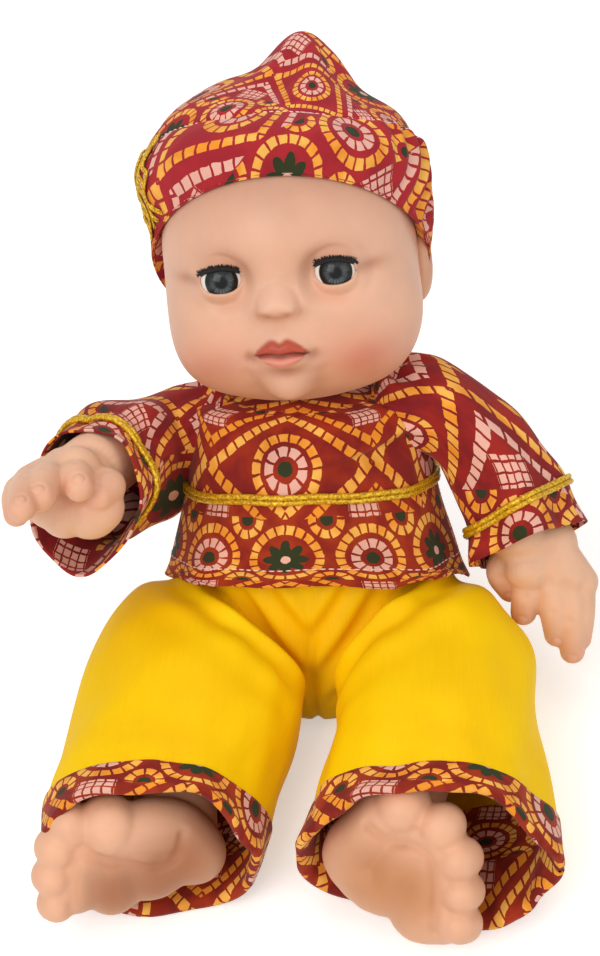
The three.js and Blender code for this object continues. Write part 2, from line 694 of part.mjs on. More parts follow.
function sleepEye(side) {
  const name = side > 0 ? "left" : "right";
  const centre = eyeCentre(side);
  const globe = ball(centre, EYE_RADIUS, EYE_RADIUS, EYE_RADIUS, 12, 8);
  const reach = at(axleReach, 0, 0);
  const axle = rod(centre.clone().sub(reach), centre.clone().add(reach), EYE_AXLE_RADIUS, 10);
  const arm = rod(centre, at(centre.x, centre.y + 14, centre.z - 12), 1.2, 8);
  piece(`${name}_eye`, joined([globe, axle, arm]), eyeGloss, head);
  const weightAt = at(centre.x, centre.y + 14, centre.z - 12);
  const weight = ball(weightAt, EYE_WEIGHT_RADIUS, EYE_WEIGHT_RADIUS, EYE_WEIGHT_RADIUS, 8, 6);
  const bore = rod(centre, weightAt.clone().add(at(0, 1, -1)), 1.2 + FIT, 8);
  piece(`${name}_eye_weight`, cut(weight, bore), steel, head);
  const tube = cut(
    rod(at(centre.x, centre.y - 20, centre.z), at(centre.x, centre.y + 5, centre.z), cupRadius, 16),
    rod(at(centre.x, centre.y - 30, centre.z), at(centre.x, centre.y + 9, centre.z), EYE_RADIUS + RUN, 16),
    rod(centre.clone().setX(centre.x - 30), centre.clone().setX(centre.x + 30), EYE_AXLE_RADIUS + FIT, 12),
  );
  piece(`${name}_eye_cup`, tube.intersect(headBody(-HEAD_WALL - FIT, [], 12, 9)), darkPlastic, head);
  const strip = new THREE.Shape();
  const near = EYE_RADIUS + FIT;
  const spread = radians(28);
  strip.absarc(0, 0, near, -Math.PI / 2 - spread, -Math.PI / 2 + spread, false);
  strip.absarc(0, 0, near + LASH_LENGTH, -Math.PI / 2 + spread, -Math.PI / 2 - spread, true);
  const lash = new THREE.ExtrudeGeometry(strip, { depth: 0.6, bevelEnabled: false, curveSegments: 8 });
  lash.rotateX(-radians(25)).translate(centre.x, centre.y, centre.z);
  piece(`${name}_lash`, solid(lash), lashFibre, head);
}

// Cap
const rimTilt = radians(CAP_RIM_TILT);
const capAxis = at(0, Math.sin(rimTilt), Math.cos(rimTilt));

/** Everything above a tilted plane at a height on the cap's axis. */
function aboveRim(shift) {
  const slab = new THREE.BoxGeometry(260, 260, 200).translate(0, 0, 100);
  slab.applyQuaternion(new THREE.Quaternion().setFromUnitVectors(UP, capAxis));
  const rise = CAP_RIM_RISE;
  const tilted = solid(slab.translate(capAxis.x * shift, capAxis.y * shift, rise + capAxis.z * shift));
  return tilted.intersect(block(at(-150, -150, CAP_NAPE_RISE + shift), at(150, 150, 300)));
}

/** The cap's outside, drawn up to a soft peak towards the back. */
function capOutside(grow) {
  const geometry = new THREE.SphereGeometry(1, 20, 14).rotateX(Math.PI / 2);
  const spots = geometry.getAttribute("position");
  const spot = at(0, 0, 0);
  const peakWay = at(0.2, 0.16, 1).normalize();
  for (let i = 0; i < spots.count; i++) {
    const outward = spot.fromBufferAttribute(spots, i).clone().normalize();
    const toPeak = Math.max(outward.dot(peakWay), 0);
    const slouch = CAP_FULLNESS * 4 * toPeak ** 2 * (1 - toPeak ** 2);
    const out = CAP_STAND_OFF + grow + slouch + CAP_PEAK_RISE * toPeak ** 9;
    spot.copy(outward).multiply(headHalf).add(headCentre).addScaledVector(outward, out);
    spots.setXYZ(i, spot.x, spot.y, spot.z);
  }
  return solid(geometry);
}

function cap() {
  const widest = new THREE.CylinderGeometry(1, 1, HEAD_CENTRE_RISE, 20).rotateX(Math.PI / 2);
  widest.scale(headHalf.x + CAP_EASE, headHalf.y + CAP_EASE, 1).translate(0, 0, HEAD_CENTRE_RISE / 2);
  const earRoom = sides.map((side) => ball(earSpot(side).add(at(0, 0, 12)), 6.5, 10.5, 25, 10, 7));
  const sideRoom = [solid(widest), ...earRoom];
  const seat = joined([headBody(FIT), ...sideRoom]);
  const room = joined([headBody(CAP_EASE, faceBumps, 18, 12), ...sideRoom]);
  const bandTop = CAP_BAND_HEIGHT;
  const crown = cut(capOutside(0).intersect(aboveRim(bandTop + FIT)), seat);
  piece("cap_crown", crown, print, head);
  const band = cut(capOutside(CAP_BAND_THICKNESS).intersect(aboveRim(0)), aboveRim(bandTop), room);
  piece("cap_band", band, print, head);
  const strip = new THREE.BoxGeometry(40, CAP_LACE_WIDTH, 120).translate(-60, -16, HEAD_CENTRE_RISE);
  const laceZone = cut(solid(strip).intersect(aboveRim(1)), aboveRim(bandTop - 1));
  const lace = cut(capOutside(CAP_BAND_THICKNESS + FIT + LACE_THICKNESS), capOutside(CAP_BAND_THICKNESS + FIT));
  piece("cap_lace", lace.intersect(laceZone), gold, head);
}

// Arms with hands, in a frame whose X axis is the shoulder axis
/** A finger or thumb through three points. */
function finger(base, knuckle, tip, radius) {
  const along = tip.clone().sub(base);
  const end = tip.clone().addScaledVector(along.clone().normalize(), 0.5 * radius);
  const sections = [
    section(base, along, radius),
    section(knuckle, along, 0.96 * radius),
    section(tip, tip.clone().sub(knuckle), 0.78 * radius),
    section(end, tip.clone().sub(knuckle), 0.35 * radius),
  ];
  return loft(sections, { up: LEFT, sides: 7 });
}

const armDrop = SLEEVE_LENGTH;
const wrist = at(0.75 * armDrop, -2, -0.78 * armDrop);
/** A spot on the hand, measured from the wrist. */
const onHand = (x, y, z) => wrist.clone().add(at(x, y, z));

function armBody() {
  const palm = HAND_WIDTH / 2;
  const down = at(0.25, 0.12, -1);
  const sections = [
    section(at(RUN, 0, 0), LEFT, ARM_NECK_RADIUS + 2),
    section(at(13.5, 0, 4.5), at(1, 0, -0.5), 9),
    section(wrist.clone().multiplyScalar(0.5).add(at(6, 0, 6)), at(0.75, 0, -1), 12.5),
    section(wrist.clone().multiplyScalar(0.8).add(at(2, 0, 1)), at(0.5, 0, -1), 13.5),
    section(wrist, at(0.45, 0, -1), 11.5, 10.5),
    section(onHand(5, -1, -8), down, palm - 1, 10.5),
    section(onHand(9, -1, -15), down, palm, 8.5),
    section(onHand(11, 0, -21), down, palm - 3, 5.5),
  ];
  const neck = [
    [0, -SOCKET_LIP - FLANGE_THICKNESS - 3 * RUN],
    [ARM_NECK_RADIUS + 1, -SOCKET_LIP - FLANGE_THICKNESS - 3 * RUN],
    [ARM_NECK_RADIUS + 1, -SOCKET_LIP - 3 * RUN],
    [ARM_NECK_RADIUS, -SOCKET_LIP - 3 * RUN],
    [ARM_NECK_RADIUS, 4],
    [0, 4],
  ];
  const bodies = [loft(sections, { up: FRONT, sides: 12 }), turned(neck, LEFT, at(0, 0, 0), 12)];
  const thumb = finger(onHand(-7, 2, -3), onHand(-11, 1, -11), onHand(-8, 3, -19), 5.4);
  const index = finger(onHand(1, -1, -8), onHand(-0.5, -3, -16), onHand(-3, -1, -24), 5);
  const middle = finger(onHand(8.5, -2, -10), onHand(9.5, -3.5, -21), onHand(9, -1.5, -32), 5);
  const ring = finger(onHand(15, -1, -12), onHand(15.8, -2.5, -25), onHand(14.5, 0, -38), 5);
  const little = finger(onHand(20, 1, -14), onHand(21, 0, -23), onHand(20, 3, -32), 4.5);
  return joined([...bodies, thumb, index, middle, ring, little]);
}

/** The sleeve's sections on an arm that is raised by an angle: its root sits up on the shoulder. */
function sleeveSections(raise) {
  const reach = SLEEVE_LENGTH;
  const lift = at(0, -Math.sin(raise), Math.cos(raise)).multiplyScalar(SLEEVE_ROOT_LIFT);
  const cap = at(0.24 * reach, 0, 0.03 * reach).addScaledVector(lift, 0.8);
  return [
    section(at(2 * RUN, 0, 0).add(lift), LEFT, SLEEVE_ROOT_RADIUS),
    section(cap, at(1, 0, -0.3), SLEEVE_ROOT_RADIUS - RUN),
    section(at(0.5 * reach, -0.5, -0.24 * reach), at(0.8, 0, -1), SLEEVE_ROOT_RADIUS + 1.5),
    section(at(0.65 * reach, -1, -0.54 * reach), at(0.65, 0, -1), SLEEVE_CUFF_RADIUS - 2),
    section(at(0.74 * reach, -1, -0.79 * reach), at(0.55, 0, -1), SLEEVE_CUFF_RADIUS),
  ];
}

function clothedArm(side) {
  const name = side > 0 ? "left" : "right";
  const raise = side > 0 ? LEFT_ARM_RAISE : RIGHT_ARM_RAISE;
  const group = new THREE.Group();
  group.position.set(side * shoulder.x, shoulder.y, shoulder.z);
  group.rotation.set(-radians(raise), 0, -side * radians(SHOULDER_TURN), "ZXY");
  trunk.add(group);
  piece(`${name}_arm`, sided(armBody(), side), skin, group);
  const gathers = (angle, t) => 0.03 * Math.cos(5 * angle + 1) * t;
  const sleeve = { up: FRONT, ripple: gathers };
  const sections = sleeveSections(radians(raise));
  piece(`${name}_sleeve`, sided(clothTube(sections, sleeve), side), print, group);
  const [before, last] = sections.slice(-2);
  const trimAt = (share) => {
    const facing = before.facing.clone().lerp(last.facing, share);
    const radius = THREE.MathUtils.lerp(before.wide, last.wide, share) * (1 + TRIM_EASE);
    return section(before.centre.clone().lerp(last.centre, share), facing, radius);
  };
  const trim = [trimAt(0.5), trimAt(0.5 + LACE_WIDTH / before.centre.distanceTo(last.centre))];
  const trimRoom = loft(trim, { up: FRONT, grow: FIT, overrun: 1 });
  const trimBody = cut(loft(trim, { up: FRONT, grow: FIT + LACE_THICKNESS }), trimRoom);
  piece(`${name}_cuff_lace`, sided(trimBody, side), gold, group);
}

// Legs with feet, in a frame at the hip
function legBody(splay) {
  const turn = new THREE.Matrix4().makeRotationZ(radians(splay));
  const sway = (x, y, z) => at(x, y, z).lerp(at(x, y, z).applyMatrix4(turn), Math.min(1, -y / 60));
  const ankleReach = TROUSER_LEG_REACH + HIP_SETBACK - ANKLE_SETBACK;
  const sections = [
    section(hipAxis.clone().multiplyScalar(FIT), hipAxis, LEG_NECK_RADIUS + 8),
    section(at(18, -14, 3), at(0.9, -0.7, 0), 19),
    section(sway(30, -0.36 * ankleReach, 5), at(0.25, -1, 0), 20),
    section(sway(32, -0.6 * ankleReach, 5), at(-0.1, -1, 0), 19),
    section(sway(28, -0.8 * ankleReach, 3), at(-0.2, -1, -0.05), 17.5),
    section(sway(24, -ankleReach, 0), at(-0.2, -1, -0.05), 14.5),
    section(sway(21, -ankleReach - 12, -2), at(-0.2, -1, -0.05), 12.5),
  ];
  const neck = [
    [0, -SOCKET_LIP - FLANGE_THICKNESS - RUN],
    [LEG_NECK_RADIUS + 3, -SOCKET_LIP - FLANGE_THICKNESS - RUN],
    [LEG_NECK_RADIUS + 3, -SOCKET_LIP - RUN],
    [LEG_NECK_RADIUS, -SOCKET_LIP - RUN],
    [LEG_NECK_RADIUS, 4],
    [0, 4],
  ];
  const heel = sway(19, -ankleReach - 20, 1);
  const along = at(0.93, -0.36, -0.05).normalize();
  const broad = at(0, 0.5, 0.86);
  broad.addScaledVector(along, -broad.dot(along)).normalize();
  const foot = (reach, across, out = 0) =>
    heel.clone().addScaledVector(along, reach).addScaledVector(broad, across)
      .addScaledVector(along.clone().cross(broad), out);
  const half = FOOT_WIDTH / 2;
  const soleSections = [
    section(foot(-11, 0), along, 5, 0.3 * half),
    section(foot(-8, 0), along, 11, 0.6 * half),
    section(foot(3, 0), along, 15, 0.8 * half),
    section(foot(0.36 * FOOT_LENGTH, 0), along, 14.5, 0.94 * half),
    section(foot(0.57 * FOOT_LENGTH, 0), along, 11, half),
    section(foot(0.68 * FOOT_LENGTH, -1), along, 7, 0.88 * half),
  ];
  const toes = [0.66, 0.2, -0.17, -0.5, -0.8].map((across, i) => {
    const radius = i === 0 ? 8 : 6 - 0.3 * i;
    return ball(foot((0.7 - 0.02 * i) * FOOT_LENGTH, across * half), radius, radius, radius, 7, 5);
  });
  const leg = loft(sections, { sides: 12 });
  const sole = loft(soleSections, { up: broad, sides: 12 });
  return joined([leg, sole, turned(neck, hipAxis, at(0, 0, 0), 14), ...toes]);
}

function trouserSections() {
  const wide = TROUSER_LEG_WIDTH / 2;
  const high = TROUSER_LEG_HEIGHT / 2;
  const end = -TROUSER_LEG_REACH;
  const rest = high + 0.2;
  const middle = 52;
  const root = hip.clone().addScaledVector(hipAxis, 2 * FIT);
  return [
    section(root.clone().add(at(0.6, -1, 2)), hipAxis, high - 10, high - 6),
    section(at(middle - 14, 0.16 * end, rest - 5), at(0.75, -0.7, 0), wide - 8, high - 8),
    section(at(middle - 3, 0.4 * end, rest), at(0.2, -1, 0), wide - 3, high),
    section(at(middle - 1, 0.7 * end, rest), at(-0.05, -1, 0), wide - 1, high),
    section(at(middle - 2, 0.88 * end, rest + 0.3), at(-0.05, -1, 0), wide + 2, high + 0.3),
    section(at(middle - 3, end, rest + 0.6), at(-0.03, -1, 0), wide + 4.5, high + 0.6),
  ];
}

function cuffSections() {
  const first = trouserSections().at(-1);
  const start = first.centre.clone().addScaledVector(first.facing, FIT);
  const end = start.clone().addScaledVector(first.facing, CUFF_LENGTH).add(at(0, 0, CUFF_FLARE));
  const middle = start.clone().lerp(end, 0.5);
  return [
    section(start, first.facing, first.wide, first.high),
    section(middle, first.facing, (first.wide + CUFF_WIDTH / 2) / 2, first.high + CUFF_FLARE / 2),
    section(end, first.facing, CUFF_WIDTH / 2, first.high + CUFF_FLARE),
  ];
}

const trouserFolds = (angle, t) => 0.02 * Math.cos(5 * angle + 0.6) * t;

/** The room that a trouser leg takes in the seat and under the tunic. */
function trouserRoom() {
  return loft(trouserSections(), { grow: FIT, overrun: FIT, ripple: trouserFolds });
}

function clothedLeg(side) {
  const name = side > 0 ? "left" : "right";
  const group = new THREE.Group();
  group.position.set(side * hip.x, hip.y, hip.z);
  doll.add(group);
  const splay = side > 0 ? LEFT_LEG_SPLAY : RIGHT_LEG_SPLAY;
  piece(`${name}_leg`, sided(legBody(splay), side), skin, group);
  const fromHip = new THREE.Matrix4().makeTranslation(-side * hip.x, -hip.y, -hip.z);
  const leg = cut(clothTube(trouserSections(), { ripple: trouserFolds }), floor);
  piece(`${name}_trouser_leg`, moved(sided(leg, side), fromHip), satin, group);
  const cuff = cut(clothTube(cuffSections(), { ripple: (angle) => trouserFolds(angle, 1) }), floor);
  piece(`${name}_trouser_cuff`, moved(sided(cuff, side), fromHip), print, group);
}

// Trouser seat and tunic
function trouserSeat() {
  const trunkUp = UP.clone().transformDirection(trunkToDoll);
  const spot = (rise) => at(0, 0, rise).applyMatrix4(trunkToDoll);
  const wide = BODICE_WIDTH / 2 - CLOTH - 2;
  const deep = BODICE_DEPTH / 2 - CLOTH - 2;
  const sections = [
    section(at(0, -4, -6), UP, wide - 12, deep - 2),
    section(at(0, -6, 8), UP, wide - 2, deep + 2),
    section(at(0, -6, 24), UP, wide, deep + 3.5),
    section(spot(6), trunkUp, wide, deep + 2.5),
    section(spot(WAIST_RISE - LACE_WIDTH - 4), trunkUp, wide, deep - 1),
  ];
  const legs = sides.map((side) => sided(trouserRoom(), side));
  const lining = moved(torsoBody(BUTTON_STAND + 3 * RUN), trunkToDoll);
  const seat = cut(loft(sections, { up: BACK, sides: 18 }), lining, floor, ...legs);
  piece("trouser_seat", seat, satin, doll);
}

function bodiceSections() {
  const wide = BODICE_WIDTH / 2;
  const deep = BODICE_DEPTH / 2;
  const length = NECKLINE_RISE - WAIST_RISE;
  return [
    level(WAIST_RISE, wide, deep),
    level(WAIST_RISE + 0.27 * length, wide - 0.5, deep - 1.5),
    level(WAIST_RISE + 0.54 * length, wide - 2.5, deep - 6),
    level(WAIST_RISE + 0.77 * length, wide - 4, deep - 10),
    level(WAIST_RISE + 0.92 * length, wide - 6, deep - 14),
    level(NECKLINE_RISE, wide - 20, deep - 18),
  ];
}

function tunic() {
  const armholeStart = at(0, 0, SLEEVE_ROOT_LIFT);
  const armholeEnd = at(SLEEVE_LENGTH, 0, SLEEVE_ROOT_LIFT);
  const armhole = rod(armholeStart, armholeEnd, SLEEVE_ROOT_RADIUS + 2 * RUN, 20);
  const armholes = sides.map((side) => atShoulder(armhole, side));
  const sections = bodiceSections();
  const top = sections.at(-1);
  const lowered = sections.map((s) => ({ ...s, centre: s.centre.clone().addScaledVector(UP, -CLOTH) }));
  const drawn = { up: BACK, sides: 20 };
  const tube = (low, high, wide, deep) => loft([level(low, wide, deep), level(high, wide, deep)], drawn);
  const neckline = tube(TORSO_RISE - 9, TORSO_RISE + 9, top.wide - CLOTH, top.high - CLOTH);
  const bodice = cut(loft(sections, drawn), loft(lowered, { ...drawn, grow: -CLOTH }), neckline, ...armholes);
  piece("tunic_bodice", bodice, print, trunk);
  const wide = BODICE_WIDTH / 2;
  const deep = BODICE_DEPTH / 2;
  const laceLow = WAIST_RISE - FIT - LACE_WIDTH;
  const laceHigh = WAIST_RISE - FIT;
  const lace = tube(laceLow, laceHigh, wide + LACE_THICKNESS, deep + LACE_THICKNESS);
  const laceRoom = tube(laceLow - 1, laceHigh + 1, wide - CLOTH, deep - CLOTH);
  piece("waist_lace", cut(lace, laceRoom), gold, trunk);
  const hemTilt = at(0, 0.25, 1);
  const between = (hem, waist) => THREE.MathUtils.lerp(hem, waist, 0.45);
  const halfWay = at(between(HEM_WIDTH / 2, wide), between(HEM_DEPTH / 2, deep), 0);
  const skirt = [
    section(at(0, 0, HEM_RISE), hemTilt, HEM_WIDTH / 2, HEM_DEPTH / 2),
    section(at(0, 0, between(HEM_RISE, laceLow)), at(0, 0.08, 1), halfWay.x, halfWay.y),
    level(laceLow - FIT, wide, deep),
  ];
  const pleats = (angle, t) => 0.022 * Math.cos(11 * angle + 0.8) * (1 - t);
  const legs = sides.map((side) => moved(sided(trouserRoom(), side), dollToTrunk));
  piece("tunic_skirt", cut(clothTube(skirt, { up: BACK, sides: 30, ripple: pleats }), ...legs), print, trunk);
}

torsoShells();
powerSwitch();
batteryUnit();
voiceBoard();
talkButton();
loudspeaker();
headShell();
sides.forEach(sleepEye);
cap();
sides.forEach(clothedArm);
sides.forEach(clothedLeg);
trouserSeat();
tunic();

export default doll;
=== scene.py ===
"""Seated talking baby doll: its looks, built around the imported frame.

Shapes are worked out in millimetres and become metres when a mesh is made.
The doll looks along -Y, its left side is +X and it sits on Z = 0.
"""

from __future__ import annotations

import json
import logging
import math
from collections.abc import Callable, Sequence
from dataclasses import dataclass, field
from enum import Enum

import bmesh
import bpy
import numpy as np
from mathutils import Matrix, Vector
from mathutils.bvhtree import BVHTree

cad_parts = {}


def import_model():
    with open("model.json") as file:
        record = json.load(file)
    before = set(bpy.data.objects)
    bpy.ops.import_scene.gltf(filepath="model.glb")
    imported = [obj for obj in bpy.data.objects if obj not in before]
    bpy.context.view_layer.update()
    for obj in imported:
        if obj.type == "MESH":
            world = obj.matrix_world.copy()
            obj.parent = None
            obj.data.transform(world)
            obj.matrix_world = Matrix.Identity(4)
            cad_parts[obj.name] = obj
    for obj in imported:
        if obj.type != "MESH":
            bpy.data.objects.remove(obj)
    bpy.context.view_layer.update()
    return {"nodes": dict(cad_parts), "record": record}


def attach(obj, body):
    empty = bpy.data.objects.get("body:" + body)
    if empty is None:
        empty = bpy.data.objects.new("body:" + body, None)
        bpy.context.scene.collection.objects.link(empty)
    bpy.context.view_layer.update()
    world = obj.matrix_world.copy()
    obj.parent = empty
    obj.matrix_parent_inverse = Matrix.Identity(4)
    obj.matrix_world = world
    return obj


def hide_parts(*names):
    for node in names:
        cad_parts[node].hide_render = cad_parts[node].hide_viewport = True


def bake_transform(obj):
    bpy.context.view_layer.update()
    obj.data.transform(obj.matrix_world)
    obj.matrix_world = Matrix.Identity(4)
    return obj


LOG = logging.getLogger("doll")
MM = 0.001
Array = np.ndarray
Mesh = bpy.types.Mesh
Piece = bpy.types.Object
Socket = bpy.types.NodeSocket
Tree = bpy.types.NodeTree
Inputs = dict[int | str, object]
BMesh = bmesh.types.BMesh
Spot = tuple[float, float, float]
# A function that gives a point in millimetres for each share of the way round a piece and along it
Place = Callable[[Array, Array], Array]
# The usual thickness of cloth in millimetres, and the distance in metres at which corners are welded
CLOTH = 0.9
WELD = 1e-6
UP = np.array((0.0, 0.0, 1.0))
FRONT = np.array((0.0, -1.0, 0.0))
BACK = np.array((0.0, 1.0, 0.0))
LEFT = np.array((1.0, 0.0, 0.0))


class Side(Enum):
    """A side of the doll, valued by the sign of X there."""

    LEFT = 1
    RIGHT = -1

    @property
    def word(self) -> str:
        """The side's name as the nodes spell it."""
        return self.name.lower()

    @property
    def mirror(self) -> Array:
        """What takes a point of the left side to this side, when multiplied by it."""
        return np.array((self.value, 1.0, 1.0))


def spot(x: float, y: float, z: float) -> Array:
    """A point or a direction."""
    return np.array((x, y, z), float)


def unit(ways: Array) -> Array:
    """Directions scaled to length one."""
    return ways / np.linalg.norm(ways, axis=-1, keepdims=True)


def turned(axis: str, degrees: float) -> Array:
    """The matrix of a turn about an axis, given by its letter."""
    return np.array(Matrix.Rotation(math.radians(degrees), 3, axis))


def pointing(place: Array, way: Array) -> Matrix:
    """What stands a shape at a place in millimetres, with its Z axis along a way."""
    turn = Vector((0, 0, 1)).rotation_difference(Vector(way)).to_matrix().to_4x4()
    return Matrix.Translation(Vector(place * MM)) @ turn


def gap_to(points: Array, place: Array) -> Array:
    """How far each point lies from a place."""
    return np.linalg.norm(points - place, axis=1)


def ease(values: Array, low: float, high: float) -> Array:
    """A smooth step from 0 at low to 1 at high."""
    share = np.clip((values - low) / (high - low), 0.0, 1.0)
    return share * share * (3.0 - 2.0 * share)


def bell(distance: Array, reach: float) -> Array:
    """A soft bump of height one that fades over a reach."""
    return np.exp(-((distance / reach) ** 2))


def wander(points: Array, wavelength: float, seed: int, waves: int = 7) -> Array:
    """A smooth wandering value between about -1 and 1 at each point.

    Args:
        points: The places, one row each.
        wavelength: The typical distance from crest to crest.
        seed: The seed that fixes the waves.
        waves: How many waves are summed.

    Returns:
        One value for each point.
    """
    rng = np.random.default_rng(seed)
    ways = unit(rng.normal(size=(waves, points.shape[1]))) * rng.uniform(0.7, 1.4, (waves, 1))
    phases = rng.uniform(0.0, math.tau, waves)
    return np.sin(points @ ways.T * (math.tau / wavelength) + phases).mean(axis=1) * 1.8


def through(stations: Array, shares: Array) -> Array:
    """Points of a smooth curve through stations.

    Args:
        stations: The points that the curve passes, one row each.
        shares: Places along the curve, from 0 to 1.

    Returns:
        One row for each share.
    """
    last = len(stations) - 1
    padded = np.vstack([2 * stations[0] - stations[1], stations, 2 * stations[-1] - stations[-2]])
    along = np.clip(shares, 0.0, 1.0) * last
    index = np.minimum(along.astype(int), last - 1)
    f = (along - index)[:, None]
    a, b, c, d = (padded[index + k] for k in range(4))
    return 0.5 * (2 * b + (c - a) * f + (2 * a - 5 * b + 4 * c - d) * f**2 + (3 * b - a - 3 * c + d) * f**3)


@dataclass(frozen=True)
class Axes:
    """A local frame: its origin and the matrix that turns it."""

    origin: Array
    turn: Array

    def out(self, points: Array) -> Array:
        """Points of the frame in the doll's own frame."""
        return points @ self.turn.T + self.origin


@dataclass(frozen=True)
class Posture:
    """How the doll sits, in degrees and millimetres, and the frames that follow from it."""

    trunk_lean: float = 17.0
    head_tilt: float = 6.0
    head_roll: float = 3.0
    shoulder_turn: float = 9.0
    left_arm_raise: float = 6.0
    right_arm_raise: float = 94.0
    left_leg_splay: float = -5.0
    right_leg_splay: float = 1.5
    pelvis: Spot = (0.0, -4.0, 38.0)
    torso_rise: float = 83.0
    shoulder_rise: float = 66.0
    shoulder_span: float = 80.0
    hip_spot: Spot = (19.5, -6.0, 27.0)

    @property
    def trunk(self) -> Axes:
        """The leaning trunk's frame."""
        return Axes(spot(*self.pelvis), turned("X", -self.trunk_lean))

    @property
    def head(self) -> Axes:
        """The head's frame, at the neck joint."""
        turn = self.trunk.turn @ turned("X", -self.head_tilt) @ turned("Y", -self.head_roll)
        return Axes(self.trunk.out(spot(0, 0, self.torso_rise)), turn)

    def arm(self, side: Side) -> Axes:
        """An arm's frame, at the shoulder, with X along the shoulder's axis."""
        raised = self.left_arm_raise if side is Side.LEFT else self.right_arm_raise
        turn = self.trunk.turn @ turned("Z", -side.value * self.shoulder_turn) @ turned("X", -raised)
        return Axes(self.trunk.out(spot(side.value * self.shoulder_span / 2, 0, self.shoulder_rise)), turn)

    def leg(self, side: Side) -> Axes:
        """A leg's frame, at the hip."""
        x, y, z = self.hip_spot
        return Axes(spot(side.value * x, y, z), np.eye(3))


POSTURE = Posture()


# Meshes


def linear(hex_colour: str) -> tuple[float, float, float, float]:
    """A colour written as sRGB hex, in linear light with full alpha."""
    parts = [int(hex_colour[i : i + 2], 16) / 255.0 for i in (1, 3, 5)]
    red, green, blue = (c / 12.92 if c <= 0.04045 else ((c + 0.055) / 1.055) ** 2.4 for c in parts)
    return red, green, blue, 1.0


def coordinates(mesh: Mesh) -> Array:
    """The corners of a mesh, in millimetres."""
    flat = np.empty(len(mesh.vertices) * 3)
    mesh.vertices.foreach_get("co", flat)
    return flat.reshape(-1, 3) / MM


def move_corners(mesh: Mesh, points: Array) -> None:
    """Moves the corners of a mesh to places in millimetres."""
    mesh.vertices.foreach_set("co", (points * MM).ravel())
    mesh.update()


def corner_normals(mesh: Mesh) -> Array:
    """The outward direction at each corner of a mesh."""
    flat = np.empty(len(mesh.vertices) * 3)
    mesh.vertices.foreach_get("normal", flat)
    return flat.reshape(-1, 3)


def shown(name: str, data: bpy.types.ID) -> Piece:
    """A new object in the scene."""
    made = bpy.data.objects.new(name, data)
    bpy.context.scene.collection.objects.link(made)
    return made


def object_from(bm: BMesh, name: str) -> Piece:
    """A shown object with smooth faces from a bmesh in metres, which is freed.

    Args:
        bm: The bmesh.
        name: The object's name.

    Returns:
        The object.
    """
    mesh = bpy.data.meshes.new(name)
    bm.to_mesh(mesh)
    bm.free()
    mesh.shade_smooth()
    return shown(name, mesh)


def apply_modifiers(piece: Piece) -> None:
    """Makes what the modifiers of a piece give its own mesh."""
    graph = bpy.context.evaluated_depsgraph_get()
    final = bpy.data.meshes.new_from_object(piece.evaluated_get(graph))
    piece.modifiers.clear()
    piece.data = final
    final.shade_smooth()


def lay_flat(mesh: Mesh, name: str, places: Array) -> None:
    """Keeps a flat place for each corner of a mesh in a new UV map.

    Args:
        mesh: The mesh.
        name: The map's name.
        places: One row for each corner.
    """
    order = np.empty(len(mesh.loops), np.int32)
    mesh.loops.foreach_get("vertex_index", order)
    mesh.uv_layers.new(name=name).uv.foreach_set("vector", places[order].ravel())


def sheet_object(name: str, faces: tuple[int, int], place: Place, flat: tuple[float, float]) -> Piece:
    """A tube of quads whose corners are moved to where a function puts them, sewn shut along its seam.

    Args:
        name: The object's name.
        faces: How many faces it has round and along.
        place: Gives the place of each corner.
        flat: Width and length of the flat cut in millimetres, which its UV map repeats.

    Returns:
        The object.
    """
    bm = bmesh.new()
    bmesh.ops.create_grid(bm, x_segments=faces[0], y_segments=faces[1], size=0.5)
    made = object_from(bm, name)
    mesh = made.data
    shares = coordinates(mesh)[:, :2] * MM + 0.5
    lay_flat(mesh, "cut", shares * np.array(flat))
    move_corners(mesh, place(shares[:, 0], shares[:, 1]))
    bm = bmesh.new()
    bm.from_mesh(mesh)
    bmesh.ops.remove_doubles(bm, verts=bm.verts, dist=WELD)
    bm.to_mesh(mesh)
    bm.free()
    mesh.update()
    return made


def join(pieces: Sequence[Piece], name: str) -> Piece:
    """Pieces made one mesh under a name.

    Args:
        pieces: The pieces, of which the first one stays.
        name: Its new name.

    Returns:
        The one piece.
    """
    with bpy.context.temp_override(
        active_object=pieces[0], selected_editable_objects=pieces, selected_objects=pieces
    ):
        bpy.ops.object.join()
    pieces[0].name = name
    return pieces[0]


def face_outwards(piece: Piece, heart: Array) -> None:
    """Turns the faces of an open tube or dome away from a point inside it.

    Args:
        piece: The piece.
        heart: The point, in millimetres.
    """
    mesh = piece.data
    mesh.update()
    away = coordinates(mesh) - heart
    if (corner_normals(mesh) * away).sum() < 0.0:
        mesh.flip_normals()


def coat(hex_colour: str, count: int) -> Array:
    """One colour, for each of a number of corners."""
    return np.tile(np.array(linear(hex_colour)[:3]), (count, 1))


def paint_corners(mesh: Mesh, colours: Array) -> None:
    """Keeps one linear colour for each corner in the attribute that skin reads."""
    layer = mesh.color_attributes.new("paint", "FLOAT_COLOR", "POINT")
    full = np.concatenate([colours, np.ones((len(colours), 1))], axis=1)
    layer.data.foreach_set("color", full.astype(np.float32).ravel())


def blend_colour(base: Array, hex_colour: str, share: Array) -> Array:
    """Colours mixed towards a hex colour by a share at each corner."""
    return base + (np.array(linear(hex_colour)[:3]) - base) * np.clip(share, 0.0, 1.0)[:, None]


@dataclass(frozen=True)
class Section:
    """One section of a tube: its centre, the way it faces, and its half sizes."""

    centre: Array
    facing: Array
    wide: float
    high: float


